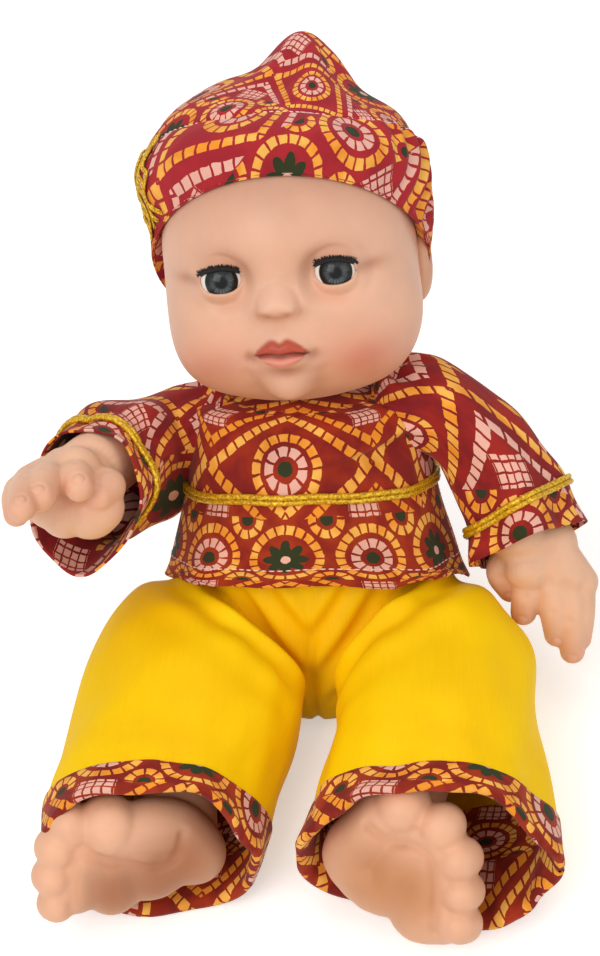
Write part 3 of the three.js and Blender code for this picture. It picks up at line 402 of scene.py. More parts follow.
class Tube:
    """A smooth tube through a run of sections."""

    def __init__(self, sections: Sequence[Section], up: Array) -> None:
        """Keeps the sections as stations of three curves.

        Args:
            sections: The sections in order.
            up: The direction that the sections' heights are measured towards.
        """
        self.centres = np.array([s.centre for s in sections])
        self.facings = np.array([unit(s.facing) for s in sections])
        self.sizes = np.array([(s.wide, s.high) for s in sections])
        self.up = up

    def frame(self, along: Array) -> tuple[Array, Array, Array, Array]:
        """The centre, the width and height directions and the half sizes along the tube."""
        facing = unit(through(self.facings, along))
        rise = unit(self.up - facing * (facing @ self.up)[:, None])
        return through(self.centres, along), np.cross(rise, facing), rise, through(self.sizes, along)

    def place(self, around: Array, along: Array, grow: Array | float = 0.0) -> Array:
        """Points on the tube, or at a distance from it.

        Args:
            around: Shares of the way round.
            along: Shares of the way along.
            grow: How far outside the tube each point lies.

        Returns:
            One point for each pair of shares.
        """
        centre, across, rise, size = self.frame(along)
        angle = math.tau * around
        wide = (size[:, 0] + grow) * np.cos(angle)
        high = (size[:, 1] + grow) * np.sin(angle)
        return centre + across * wide[:, None] + rise * high[:, None]

    def push_out(self, points: Array, gap: float) -> Array:
        """Points moved out of the tube to a gap from it, where they lie inside.

        Args:
            points: Places in millimetres.
            gap: The least distance to the tube.

        Returns:
            One row for each point.
        """
        shares = np.linspace(0.0, 1.0, 60)
        centre, across, rise, size = self.frame(shares)
        nearest = np.linalg.norm(points[:, None] - centre[None], axis=2).argmin(axis=1)
        away = points - centre[nearest]
        x = (away * across[nearest]).sum(axis=1)
        y = (away * rise[nearest]).sum(axis=1)
        depth = np.hypot(x / (size[nearest, 0] + gap), y / (size[nearest, 1] + gap))
        inside = (depth < 1.0) & (depth > 1e-3) & (nearest > 0) & (nearest < len(shares) - 1)
        factor = np.where(inside, 1.0 / np.maximum(depth, 1e-3) - 1.0, 0.0)
        radial = across[nearest] * x[:, None] + rise[nearest] * y[:, None]
        return points + radial * factor[:, None]


# Finishes


def add(tree: Tree, kind: str, inputs: Inputs, out: int | str = 0, **settings: object) -> Socket:
    """Adds a node with its settings and links.

    Args:
        tree: The node tree.
        kind: The node's type name, without the words that all shader nodes share.
        inputs: A value or another node's socket for each input, by index or name.
        out: The output to hand on.
        settings: The node's own properties.

    Returns:
        The output socket.
    """
    node = tree.nodes.new("ShaderNode" + kind)
    for name, value in settings.items():
        setattr(node, name, value)
    for key, value in inputs.items():
        if isinstance(value, Socket):
            tree.links.new(value, node.inputs[key])
        else:
            node.inputs[key].default_value = value
    return node.outputs[out]


def blank_tree(owner: bpy.types.Material | bpy.types.World) -> Tree:
    """The emptied node tree of a material or a world."""
    owner.use_nodes = True
    owner.node_tree.nodes.clear()
    return owner.node_tree


@dataclass(frozen=True)
class Finish:
    """A finish: how one material of the doll looks."""

    name: str = "finish"

    def material(self) -> bpy.types.Material:
        """The finish as a material, made once."""
        found = bpy.data.materials.get(self.name)
        if found is not None:
            return found
        made = bpy.data.materials.new(self.name)
        tree = blank_tree(made)
        shader = add(tree, "BsdfPrincipled", self.surface(tree))
        output = tree.nodes.new("ShaderNodeOutputMaterial")
        tree.links.new(shader, output.inputs["Surface"])
        return made

    def surface(self, tree: Tree) -> Inputs:
        """What goes into the shader of the finish.

        Args:
            tree: The material's node tree.

        Returns:
            A value or another node's socket for each of the shader's inputs.
        """
        raise NotImplementedError


def squares(name: str, line: str, along: str, middle: float, half: float, count: float) -> list[tuple]:
    """Sums that break a printed line into squares.

    Args:
        name: The name of the mask that results.
        line: The value that is near the middle on the line.
        along: The value that grows along the line.
        middle: The line's own value.
        half: Half of the line's width.
        count: Squares for each unit along.

    Returns:
        Rows of sums: a name, an operation and its terms.
    """
    return [
        (f"{name}_step", "MULTIPLY", along, count),
        (f"{name}_step", "FRACT", f"{name}_step"),
        (f"{name}_gap", "COMPARE", f"{name}_step", 0.5, 0.39),
        (name, "COMPARE", line, middle, half),
        (name, "MULTIPLY", name, f"{name}_gap"),
    ]


def round_about(name: str, x: str, y: str) -> list[tuple]:
    """Sums for the radius and the share of a turn about a motif's middle.

    Args:
        name: The motif's name.
        x: The value across it.
        y: The value up it.

    Returns:
        Rows of sums: a name, an operation and its terms.
    """
    return [
        (f"{name}_square", "MULTIPLY", x, x),
        (f"{name}_square", "MULTIPLY_ADD", y, y, f"{name}_square"),
        (f"{name}_r", "SQRT", f"{name}_square"),
        (f"{name}_angle", "ARCTAN2", y, x),
        (f"{name}_turn", "MULTIPLY", f"{name}_angle", 0.5 / math.pi),
    ]


# The print in millimetres: a row of medallions, then a row of diamonds twice as wide, and so on
PITCH = 26.0
REPEAT = 64.0
PRINT_SUMS: list[tuple] = [
    ("x", "FLOORED_MODULO", "u", PITCH),
    ("x", "SUBTRACT", "x", PITCH / 2),
    ("pair", "FLOORED_MODULO", "u", 2 * PITCH),
    ("odd", "GREATER_THAN", "pair", PITCH),
    ("even", "SUBTRACT", 1.0, "odd"),
    ("level", "FLOORED_MODULO", "v", REPEAT),
    ("y", "SUBTRACT", "level", PITCH / 2),
    *round_about("medal", "x", "y"),
    *squares("ring", "medal_r", "medal_turn", 10.0, 1.3, 20.0),
    *squares("pink_ring", "medal_r", "medal_turn", 5.4, 1.45, 11.0),
    ("pink_ring", "MULTIPLY", "pink_ring", "even"),
    ("pink_dot", "LESS_THAN", "medal_r", 2.4),
    ("pink_dot", "MULTIPLY", "pink_dot", "even"),
    ("petal", "MULTIPLY", "medal_angle", 4.0),
    ("petal", "COSINE", "petal"),
    ("petal", "ABSOLUTE", "petal"),
    ("petal", "MULTIPLY_ADD", "petal", 2.6, 4.2),
    ("flower", "LESS_THAN", "medal_r", "petal"),
    ("flower", "MULTIPLY", "flower", "odd"),
    ("flower_eye", "LESS_THAN", "medal_r", 1.6),
    ("flower_eye", "MULTIPLY", "flower_eye", "odd"),
    ("bud_x", "ADD", "u", PITCH / 2),
    ("bud_x", "FLOORED_MODULO", "bud_x", PITCH),
    ("bud_x", "SUBTRACT", "bud_x", PITCH / 2),
    ("bud_y", "PINGPONG", "y", PITCH / 2),
    ("bud_y", "SUBTRACT", PITCH / 2, "bud_y"),
    *round_about("bud", "bud_x", "bud_y"),
    *squares("bud_ring", "bud_r", "bud_turn", 4.6, 1.25, 9.0),
    ("near_row", "COMPARE", "y", 0.0, 13.5),
    ("bud_ring", "MULTIPLY", "bud_ring", "near_row"),
    ("bud_dot", "LESS_THAN", "bud_r", 2.1),
    ("bud_dot", "MULTIPLY", "bud_dot", "near_row"),
    ("wide", "SUBTRACT", "u", PITCH / 2),
    ("wide", "FLOORED_MODULO", "wide", 2 * PITCH),
    ("wide", "SUBTRACT", "wide", PITCH),
    ("rise", "SUBTRACT", "level", 45.0),
    ("off_wide", "ABSOLUTE", "wide"),
    ("off_rise", "ABSOLUTE", "rise"),
    ("slope", "MULTIPLY_ADD", "off_wide", 0.74, "off_rise"),
    ("in_row", "COMPARE", "rise", 0.0, 19.0),
    ("run", "MULTIPLY_ADD", "off_rise", -0.74, "off_wide"),
    *squares("diamond", "slope", "run", 18.0, 1.65, 0.236),
    ("diamond", "MULTIPLY", "diamond", "in_row"),
    *squares("outer_row", "slope", "run", 25.0, 1.5, 0.236),
    ("outer_row", "MULTIPLY", "outer_row", "in_row"),
    *round_about("heart", "wide", "rise"),
    *squares("heart_ring", "heart_r", "heart_turn", 9.0, 1.3, 17.0),
    *squares("heart_pink", "heart_r", "heart_turn", 4.9, 1.35, 9.0),
    ("heart_dot", "LESS_THAN", "heart_r", 2.1),
    ("check_x", "SUBTRACT", PITCH, "off_wide"),
    *squares("check_column", "check_x", "check_x", 0.0, 5.4, 0.4),
    ("check_y", "SUBTRACT", "off_rise", 15.0),
    *squares("check", "check_y", "check_y", 0.0, 3.75, 0.4),
    ("check", "MULTIPLY", "check", "check_column"),
]


@dataclass(frozen=True)
class VinylSkin(Finish):
    """Rotocast soft PVC, painted on the face: a satin skin with light inside it."""

    name: str = "soft_vinyl"
    pore: float = 0.9
    mottle: float = 14.0

    def surface(self, tree: Tree) -> Inputs:
        """Painted colour with faint mottling and a fine moulded grain."""
        paint = add(tree, "Attribute", {}, attribute_name="paint")
        place = add(tree, "TexCoord", {}, out="Object")
        mottle = add(tree, "TexNoise", {"Vector": place, "Scale": 1 / (self.mottle * MM), "Detail": 3.0})
        tone = add(tree, "MapRange", {0: mottle, 1: 0.3, 2: 0.7, 3: 0.95, 4: 1.04})
        colour = add(tree, "VectorMath", {0: paint, "Scale": tone}, operation="SCALE")
        grain = add(tree, "TexNoise", {"Vector": place, "Scale": 1 / (self.pore * MM), "Detail": 2.0})
        gloss = add(tree, "MapRange", {0: mottle, 1: 0.3, 2: 0.7, 3: 0.42, 4: 0.54})
        bump = add(tree, "Bump", {"Strength": 0.06, "Distance": 0.15 * MM, "Height": grain})
        return {
            "Base Color": colour,
            "Roughness": gloss,
            "IOR": 1.52,
            "Specular IOR Level": 0.35,
            "Subsurface Weight": 0.16,
            "Subsurface Radius": (1.0, 0.45, 0.25),
            "Subsurface Scale": 3.0 * MM,
            "Normal": bump,
        }


@dataclass(frozen=True)
class PrintedCotton(Finish):
    """Thin plain-woven cotton printed like tie-dye: medallions, diamonds and checks of small squares."""

    name: str = "printed_cotton"
    ground: str = "#A32A12"
    deep: str = "#8A1A14"
    orange: str = "#FFC45C"
    amber: str = "#F59A2C"
    pink: str = "#F0B9A8"
    green: str = "#2C3418"
    outer: str = "#F59A2C"
    scale: float = 1.0
    shift: tuple[float, float] = (0.0, 0.0)
    tilt: float = 0.0
    # Waves of each kind in a millimetre of the cut
    fading: float = 0.06
    wobbling: float = 0.3
    patching: float = 0.11
    # Threads lie about twice as far apart as real ones, so that they show
    thread: float = 0.55

    def surface(self, tree: Tree) -> Inputs:
        """The print on the cut's own UV map, over the weave."""
        cut = add(tree, "UVMap", {}, uv_map="cut")
        colour = self.dyed(tree, cut)
        fade = add(tree, "TexNoise", {"Vector": cut, "Scale": self.fading, "Detail": 4.0})
        tone = add(tree, "MapRange", {0: fade, 1: 0.3, 2: 0.7, 3: 0.86, 4: 1.06})
        rows = {"Vector": cut, "Scale": 0.5 / self.thread}
        threads = [add(tree, "TexWave", rows, out=1, bands_direction=way) for way in "XY"]
        weave = add(tree, "Math", {0: threads[0], 1: threads[1]}, operation="MULTIPLY")
        shade = add(tree, "MapRange", {0: weave, 1: 0.0, 2: 1.0, 3: 0.93, 4: 1.05})
        tone = add(tree, "Math", {0: tone, 1: shade}, operation="MULTIPLY")
        colour = add(tree, "VectorMath", {0: colour, "Scale": tone}, operation="SCALE")
        bump = add(tree, "Bump", {"Strength": 0.25, "Distance": 0.12 * MM, "Height": weave})
        return {
            "Base Color": colour,
            "Roughness": 0.8,
            "Specular IOR Level": 0.25,
            "Sheen Weight": 0.08,
            "Sheen Roughness": 0.5,
            "Normal": bump,
        }

    def dyed(self, tree: Tree, cut: Socket) -> Socket:
        """The dyes of the print, laid one over another on the ground.

        Args:
            tree: The material's node tree.
            cut: The place on the cut, in millimetres.

        Returns:
            The colour.
        """
        noise = add(tree, "TexNoise", {"Vector": cut, "Scale": self.wobbling, "Detail": 2.0}, out="Color")
        wobble = add(tree, "VectorMath", {0: noise, 1: (0.5, 0.5, 0.5)}, operation="SUBTRACT")
        wobble = add(tree, "VectorMath", {0: wobble, "Scale": 1.2}, operation="SCALE")
        place = add(tree, "VectorMath", {0: cut, 1: wobble}, operation="ADD")
        turn = (0.0, 0.0, math.radians(self.tilt))
        fit = {"Location": (*self.shift, 0.0), "Rotation": turn, "Scale": (1.0 / self.scale,) * 3}
        place = add(tree, "Mapping", {"Vector": place, **fit})
        parts = add(tree, "SeparateXYZ", {0: place}).node.outputs
        found: dict[str, Socket] = {"u": parts[0], "v": parts[1]}
        for name, operation, *terms in PRINT_SUMS:
            inputs = {i: found[term] if isinstance(term, str) else term for i, term in enumerate(terms)}
            found[name] = add(tree, "Math", inputs, operation=operation)
        patch = add(tree, "TexNoise", {"Vector": place, "Scale": self.patching, "Detail": 2.0})
        share = add(tree, "MapRange", {0: patch, 1: 0.4, 2: 0.6, 3: 0.0, 4: 1.0})
        colour, orange = (
            add(tree, "Mix", {0: share, 6: linear(low), 7: linear(high)}, out=2, data_type="RGBA")
            for low, high in ((self.ground, self.deep), (self.orange, self.amber))
        )
        dyes = (
            (orange, ("diamond", "ring", "bud_ring", "heart_ring")),
            (linear(self.outer), ("outer_row",)),
            (linear(self.pink), ("check", "pink_ring", "heart_pink")),
            (linear(self.green), ("flower", "pink_dot", "bud_dot", "heart_dot")),
            (linear(self.pink), ("flower_eye",)),
        )
        for dye, masks in dyes:
            for mask in masks:
                colour = add(tree, "Mix", {0: found[mask], 6: colour, 7: dye}, out=2, data_type="RGBA")
        return colour


@dataclass(frozen=True)
class SatinWeave(Finish):
    """Yellow polyester satin: long floating threads that give a soft sheen along the cut."""

    name: str = "yellow_satin"
    colour: str = "#FFD200"
    shadow: str = "#F9BE00"
    # Waves of tone in a millimetre of the cut
    fading: float = 0.03
    # Threads are a few times as wide as real ones, so that they show
    thread: float = 0.6

    def surface(self, tree: Tree) -> Inputs:
        """Threads along the cut, with slow changes of tone."""
        cut = add(tree, "UVMap", {}, uv_map="cut")
        slow = add(tree, "TexNoise", {"Vector": cut, "Scale": self.fading, "Detail": 3.0})
        share = add(tree, "MapRange", {0: slow, 1: 0.35, 2: 0.7, 3: 0.0, 4: 0.6})
        shades = {0: share, 6: linear(self.colour), 7: linear(self.shadow)}
        colour = add(tree, "Mix", shades, out=2, data_type="RGBA")
        stretched = add(tree, "Mapping", {"Vector": cut, "Scale": (1.0 / self.thread, 0.08, 1.0)})
        thread = add(tree, "TexNoise", {"Vector": stretched, "Scale": 1.0, "Detail": 2.0})
        tone = add(tree, "MapRange", {0: thread, 1: 0.3, 2: 0.7, 3: 0.975, 4: 1.02})
        colour = add(tree, "VectorMath", {0: colour, "Scale": tone}, operation="SCALE")
        bump = add(tree, "Bump", {"Strength": 0.08, "Distance": 0.15 * MM, "Height": thread})
        return {
            "Base Color": colour,
            "Roughness": 0.6,
            "Specular IOR Level": 0.14,
            "Sheen Weight": 0.05,
            "Sheen Roughness": 0.4,
            "Sheen Tint": linear(self.colour),
            "Normal": bump,
        }


@dataclass(frozen=True)
class GoldBraid(Finish):
    """Metallised yellow yarn, braided: bright threads with dull ones between."""

    name: str = "gold_braid"
    colour: str = "#E8BE1E"
    dull: str = "#A97A08"
    fleck: float = 0.8

    def surface(self, tree: Tree) -> Inputs:
        """Threads that change from bright to dull."""
        place = add(tree, "TexCoord", {}, out="Object")
        fleck = add(tree, "TexNoise", {"Vector": place, "Scale": 1 / (self.fleck * MM), "Detail": 2.0})
        share = add(tree, "MapRange", {0: fleck, 1: 0.38, 2: 0.62, 3: 0.0, 4: 1.0})
        shades = {0: share, 6: linear(self.colour), 7: linear(self.dull)}
        colour = add(tree, "Mix", shades, out=2, data_type="RGBA")
        rough = add(tree, "MapRange", {0: fleck, 1: 0.3, 2: 0.7, 3: 0.3, 4: 0.55})
        bump = add(tree, "Bump", {"Strength": 0.3, "Distance": 0.2 * MM, "Height": fleck})
        return {"Base Color": colour, "Metallic": 0.35, "Roughness": rough, "Normal": bump}


@dataclass(frozen=True)
class EyeGloss(Finish):
    """Polished acrylic over a printed iris, with a painted lid above."""

    name: str = "eye_acrylic"
    iris: float = 5.9
    pupil: float = 1.7
    lid_edge: float = 5.0

    def surface(self, tree: Tree) -> Inputs:
        """Pupil, streaked iris, dark rim, white and lid by distance from the gaze, with painted shade below
        the lid.
        """
        gaze = add(tree, "UVMap", {}, uv_map="gaze")
        radius = add(tree, "VectorMath", {0: gaze}, out="Value", operation="LENGTH")
        parts = add(tree, "SeparateXYZ", {0: gaze}).node.outputs
        angle = add(tree, "Math", {0: parts[1], 1: parts[0]}, operation="ARCTAN2")
        fan = add(tree, "CombineXYZ", {0: angle, 1: 0.0, 2: 0.0})
        streak = add(tree, "TexNoise", {"Vector": fan, "Scale": 10.0, "Detail": 3.0})
        streak = add(tree, "MapRange", {0: streak, 1: 0.44, 2: 0.62, 3: 0.05, 4: 1.0})
        inner = add(tree, "MapRange", {0: radius, 1: 1.9, 2: 2.6, 3: 0.0, 4: 1.0})
        outer = add(tree, "MapRange", {0: radius, 1: 4.5, 2: 3.4, 3: 0.0, 4: 1.0})
        # Painted shade: the iris darkens towards its top, where the lid and lashes shade it
        low = add(tree, "MapRange", {0: parts[1], 1: 3.0, 2: -3.5, 3: 0.15, 4: 0.8})
        glow = inner
        for share in (outer, streak, low):
            glow = add(tree, "Math", {0: glow, 1: share}, operation="MULTIPLY")
        shades = {0: glow, 6: linear("#12161A"), 7: linear("#7A878C")}
        colour = add(tree, "Mix", shades, out=2, data_type="RGBA")
        layers = (
            ("#0D1013", radius, 4.1, 5.0, 0.94),
            ("#ECEAE4", radius, self.iris - 0.15, self.iris + 0.15, 1.0),
            ("#050607", radius, self.pupil + 0.2, self.pupil - 0.1, 1.0),
            # Painted shade: a dark band on the ball just under the painted lid, where the lashes shade it
            ("#0D0B0A", parts[1], self.lid_edge - 1.6, self.lid_edge, 0.85),
            ("#D9A283", parts[1], self.lid_edge, self.lid_edge + 0.3, 1.0),
        )
        for paint, value, start, end, most in layers:
            share = add(tree, "MapRange", {0: value, 1: start, 2: end, 3: 0.0, 4: most})
            colour = add(tree, "Mix", {0: share, 6: colour, 7: linear(paint)}, out=2, data_type="RGBA")
        # The last share is the painted lid's, which is duller than the ball
        rough = add(tree, "MapRange", {0: share, 1: 0.0, 2: 1.0, 3: 0.16, 4: 0.5})
        return {"Base Color": colour, "Roughness": rough, "IOR": 1.49, "Specular IOR Level": 0.3}


@dataclass(frozen=True)
class PlainFinish(Finish):
    """A finish of one colour that changes slowly, with a fine grain in its relief."""

    name: str = "moulded_plastic"
    colour: str = "#E8C3A8"
    metallic: float = 0.0
    roughness: float = 0.5
    patch: float = 20.0
    grain: float = 1.2
    relief: float = 0.1

    def surface(self, tree: Tree) -> Inputs:
        """The colour with slow changes of tone and a grain."""
        place = add(tree, "TexCoord", {}, out="Object")
        slow = add(tree, "TexNoise", {"Vector": place, "Scale": 1 / (self.patch * MM), "Detail": 3.0})
        tone = add(tree, "MapRange", {0: slow, 1: 0.3, 2: 0.7, 3: 0.88, 4: 1.06})
        colour = add(tree, "VectorMath", {0: linear(self.colour)[:3], "Scale": tone}, operation="SCALE")
        fine = add(tree, "TexNoise", {"Vector": place, "Scale": 1 / (self.grain * MM), "Detail": 2.0})
        bump = add(tree, "Bump", {"Strength": self.relief, "Distance": 0.2 * MM, "Height": fine})
        look = {"Metallic": self.metallic, "Roughness": self.roughness}
        return {"Base Color": colour, "Normal": bump, **look}


SKIN = VinylSkin()
# The same cotton in five cuts, each with its own ground and its own place in the print
CAP_PRINT = PrintedCotton(
    "cap_print", "#B3262F", "#A31F2C", outer="#F0B9A8", scale=1.4, tilt=38.0, shift=(9.0, 4.0)
)
SKIRT_PRINT = PrintedCotton("skirt_print", "#A83410", "#8E1F12", scale=1.2, shift=(0.0, -5.0))
BODICE_PRINT = PrintedCotton("bodice_print", "#A32C10", "#861A14", scale=1.2, shift=(30.0, 36.7))
SLEEVE_PRINT = PrintedCotton(
    "sleeve_print", "#A3231C", "#84161A", outer="#F0B9A8", scale=1.2, tilt=20.0, shift=(12.0, 10.0)
)
CUFF_PRINT = PrintedCotton("cuff_print", "#A5300F", "#7E1A12", scale=1.15, tilt=8.0, shift=(3.0, 9.0))
SATIN = SatinWeave()
BRAID = GoldBraid()
EYE = EyeGloss()
# Fine black nylon fibre: dull, so that hardly any light comes back
LASH = PlainFinish("lash_fibre", "#0D0A09", roughness=0.9, grain=0.3, relief=0.3)
# White polyester sewing thread: matt, with a fine twist
THREAD = PlainFinish("white_thread", "#F0E2DC", roughness=0.7, grain=0.3, relief=0.4)
# Injection-moulded polypropylene: even, a little waxy, half gloss
SHELL = PlainFinish("torso_polypropylene", "#E8C3A8", roughness=0.48)
# Moulded ABS, nearly black: smooth and half gloss
DARK = PlainFinish("dark_abs", "#2B2B2E", roughness=0.45)
# Solder mask on an epoxy board: green, smooth and a little glossy
BOARD = PlainFinish("solder_mask", "#1F6B3A", roughness=0.4, grain=0.6)
# Zinc-plated steel: grey metal with blurred reflections
STEEL = PlainFinish("plated_steel", "#B9BCC0", metallic=1.0, roughness=0.32, grain=0.5)
# The printed foil round a cell: coloured, smooth and partly metallic
WRAP = PlainFinish("cell_wrap", "#B0532C", metallic=0.3, roughness=0.4)
# Pressed paper pulp: dark, dull and fibrous
PAPER = PlainFinish("pressed_paper", "#3A3A3A", roughness=0.9, grain=0.4, relief=0.4)


def dress(piece: Piece, finish: Finish, nodes: Sequence[str] = ()) -> Piece:
    """Gives a piece its finish and hides the nodes that it replaces.

    Args:
        piece: The piece.
        finish: Its finish.
        nodes: The nodes that it replaces.

    Returns:
        The piece.
    """
    piece.data.materials.clear()
    piece.data.materials.append(finish.material())
    if nodes:
        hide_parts(*nodes)
    LOG.info("%s: %d corners", piece.name, len(piece.data.vertices))
    return piece


def sew(
    name: str,
    faces: tuple[int, int],
    place: Place,
    flat: tuple[float, float],
    heart: Array,
    finish: Finish,
    nodes: Sequence[str],
    thickness: float = CLOTH,
) -> Piece:
    """A finished tube of cloth, with its thickness on the inner side.

    Args:
        name: The piece's name.
        faces: How many faces it has round and along.
        place: Gives the place of each corner.
        flat: Width and length in millimetres that its UV map repeats.
        heart: A point inside the tube.
        finish: The cloth.
        nodes: The nodes that it stands for.
        thickness: The cloth's thickness in millimetres.

    Returns:
        The piece.
    """
    piece = sheet_object(name, faces, place, flat)
    face_outwards(piece, heart)
    wall = piece.modifiers.new("cloth", "SOLIDIFY")
    wall.thickness = thickness * MM
    wall.offset = -1.0
    return dress(piece, finish, nodes)


# Head


@dataclass(frozen=True)
class Bump:
    """A soft bump or hollow: its place, its reach and how far it stands out."""

    place: Spot
    reach: float
    out: float


@dataclass
class Head:
    """The head: its skin with a face, ears, neck and sleep eyes."""

    half: Spot = (48.5, 49.0, 50.0)
    centre_rise: float = 54.0
    jaw_drop: float = 57.0
    jowl_fullness: float = 2.7
    cuts: int = 95
    front_crowding: float = 0.5
    eye_x: float = 20.25
    eye_setback: float = 36.5
    eye_rise: float = 51.5
    eye_radius: float = 9.5
    lid_radius: float = 10.6
    opening_rise: float = 52.3
    opening_half: tuple[float, float] = (7.8, 5.6)
    opening_low: float = 5.2
    opening_power: float = 2.3
    lid_lip: float = 0.7
    lid_return: float = 5.0
    nose_x: float = -0.4
    nose_rise: float = 43.6
    nose_half: float = 7.8
    ear_half: Spot = (5.0, 8.0, 14.0)
    right_ear_tuck: float = 3.4
    neck_radius: float = 12.0
    neck_flare: float = 1.5
    neck_height: float = 18.0
    mouth: tuple[float, float] = (-1.0, 25.6)
    mouth_half: float = 10.5
    tone: str = "#E6B69B"
    frame: Axes = field(default_factory=lambda: POSTURE.head)

    bumps: tuple[Bump, ...] = (
        Bump((-0.4, -50, 44.0), 8.0, 1.5),
        Bump((-6.4, -48.5, 42.0), 3.6, 2.6),
        Bump((5.6, -48.5, 42.0), 3.6, 2.6),
        Bump((-31, -31, 23), 19.0, 8.0),
        Bump((32, -30, 24), 20.0, 10.0),
        Bump((43, -18, 33), 15.0, 2.2),
        Bump((0, -46, 25), 9.0, 4.6),
        Bump((-0.5, -43, 11.5), 8.2, 8.0),
        Bump((-20, -46, 55), 12.0, -2.0),
        Bump((20, -46, 55), 12.0, -2.0),
        Bump((-46, -8, 54), 18.0, -1.6),
        Bump((46, -8, 54), 18.0, -1.6),
        Bump((0, -42, 78), 26.0, 2.0),
    )

    def bare(self, ways: Array, grow: Array | float = 0.0) -> Array:
        """The head without its fine features, in its own frame.

        Args:
            ways: Outward directions.
            grow: How far outside the skin the points lie.

        Returns:
            One point for each direction.
        """
        down = np.clip(-ways[:, 2], 0.0, 0.99)
        power = self.jowl_fullness
        jowl = (1.0 - down**power) ** (1.0 / power) / np.sqrt(1.0 - down**2) - 1.0
        fullness = 1.0 + (0.6 - 0.4 * ways[:, 1]) * jowl
        tall = np.where(ways[:, 2] < 0.0, self.jaw_drop, self.half[2])
        points = ways * np.stack([self.half[0] * fullness, self.half[1] * fullness, tall], axis=1)
        points[:, 2] += self.centre_rise
        out = np.zeros(len(ways)) + grow
        for bump in self.bumps:
            out += bump.out * bell(gap_to(points, spot(*bump.place)), bump.reach)
        return points + ways * out[:, None]

    def lips(self, x: Array, z: Array) -> tuple[Array, Array, Array, Array]:
        """Where points of the face lie against the lips.

        Args:
            x: Places across the face.
            z: Heights.

        Returns:
            Shares through the upper and lower lip, the height off the line between, and the lips' span.
        """
        across = (x - self.mouth[0]) / self.mouth_half
        line = self.mouth[1] - 0.6 * bell(across, 0.26) - 1.2 * across**2
        bow = 1.0 - 0.16 * bell(across, 0.14) + 0.06 * bell(np.abs(across) - 0.3, 0.16)
        upper = 5.9 * bow * np.clip(1.0 - np.abs(across) ** 2.2, 0.02, None)
        lower = 4.9 * np.clip(1.0 - np.abs(across / 0.84) ** 2.4, 0.02, None)
        off = z - line
        return off / upper, -off / lower, off, 1.0 - ease(np.abs(across), 0.86, 1.0)

    def lid_depth(self, off_x: Array | float, z: Array | float) -> Array:
        """How far forward the lids lie, just clear of the eyeball."""
        around = np.minimum(np.hypot(off_x, z - self.eye_rise), 0.8 * self.lid_radius)
        return -self.eye_setback - np.sqrt(self.lid_radius**2 - around**2)

    def sculpt(self, points: Array) -> Array:
        """The bare head with its eyelids, nostrils, lips and creases.

        Args:
            points: The bare head, in its own frame.

        Returns:
            The points, moved back or forth.
        """
        x, y, z = points.T.copy()
        front = ease(-y, 20.0, 34.0)
        for side in (-1.0, 1.0):
            off_x = x - side * self.eye_x
            off_z = z - self.opening_rise
            around = np.hypot(off_x, z - self.eye_rise)
            y += front * (1.0 - ease(around, 6.5, 13.5)) * (self.lid_depth(off_x, z) - y)
            crease = 8.6 - 0.05 * off_x**2
            y += front * 0.55 * bell(off_z - crease, 0.8) * (1.0 - ease(np.abs(off_x), 6.0, 11.0))
            out_x = side * off_x
            corner = bell(off_z - 0.4 + 0.1 * (out_x - 9.0), 1.3) * ease(out_x, 7.5, 9.5)
            y += front * 1.1 * corner * (1.0 - ease(out_x, 12.0, 19.0))
            pouch = bell(off_z + 9.0 - 0.04 * off_x**2, 1.6) * (1.0 - ease(np.abs(off_x), 5.0, 11.0))
            y += front * 0.35 * pouch
        above = z > self.nose_rise
        tall = np.where(above, 7.4, 4.8)
        across = (x - self.nose_x) / self.nose_half
        ball = np.clip(1.0 - across**2 - ((z - self.nose_rise) / tall) ** 2, 0.0, None)
        y -= front * 5.0 * ball ** np.where(above, 0.95, 0.75)
        upper, lower, off, span = self.lips(x, z)
        y -= front * 2.3 * np.sin(math.pi * np.clip(upper, 0.0, 1.0)) ** 0.8 * span
        y -= front * 2.6 * np.sin(math.pi * np.clip(lower, 0.0, 1.0)) ** 0.7 * span
        y += front * 1.6 * bell(off, 0.6) * span
        for side in (-1.0, 1.0):
            corner = np.hypot(x - self.mouth[0] - side * 11.4, z - self.mouth[1] + 1.6)
            y += front * 1.5 * bell(corner, 2.1)
            nostril = np.hypot(x + 0.6 - side * 3.2, 1.4 * (z - 40.4))
            y += front * 0.9 * bell(nostril, 1.4)
            off_nose = x - self.nose_x
            wing = bell(np.abs(np.hypot(off_nose - side * 5.0, z - 41.6) - 3.7), 0.9)
            y += front * 0.6 * wing * ease(side * off_nose, 5.2, 7.6) * (1.0 - ease(z, 43.5, 46.0))
            round_chin = side * (x + 0.5) - 10.5 - 0.3 * (z - 8.0) * ease(z, 2.0, 8.0)
            y += front * 1.0 * bell(round_chin, 2.4) * ease(z, 1.0, 6.0) * (1.0 - ease(z, 16.0, 21.0))
        y += front * 0.6 * bell(x + 0.8, 1.6) * ease(z, 31.0, 33.0) * (1.0 - ease(z, 36.5, 39.0))
        y += front * 1.9 * bell(z - 18.4 - 0.02 * x**2, 1.9) * bell(x + 0.5, 8.0)
        return np.stack([x, y, z], axis=1)

    def complexion(self, points: Array) -> Array:
        """The painted colour of the skin: rosy cheeks, lips, and painted shade in the face's hollows and
        creases.

        Args:
            points: The head's corners, in its own frame.

        Returns:
            One linear colour for each.
        """
        x, y, z = points.T
        front = ease(-y, 12.0, 30.0)
        colour = coat(self.tone, len(points))

        def tint(
            hex_colour: str, place: tuple[float, float], reach: float, share: float, wide: float = 1.0
        ) -> None:
            """Lays a soft spot of colour on the face, wider than high by a factor."""
            nonlocal colour
            away = np.hypot((x - place[0]) / wide, z - place[1])
            colour = blend_colour(colour, hex_colour, share * bell(away, reach) * front)

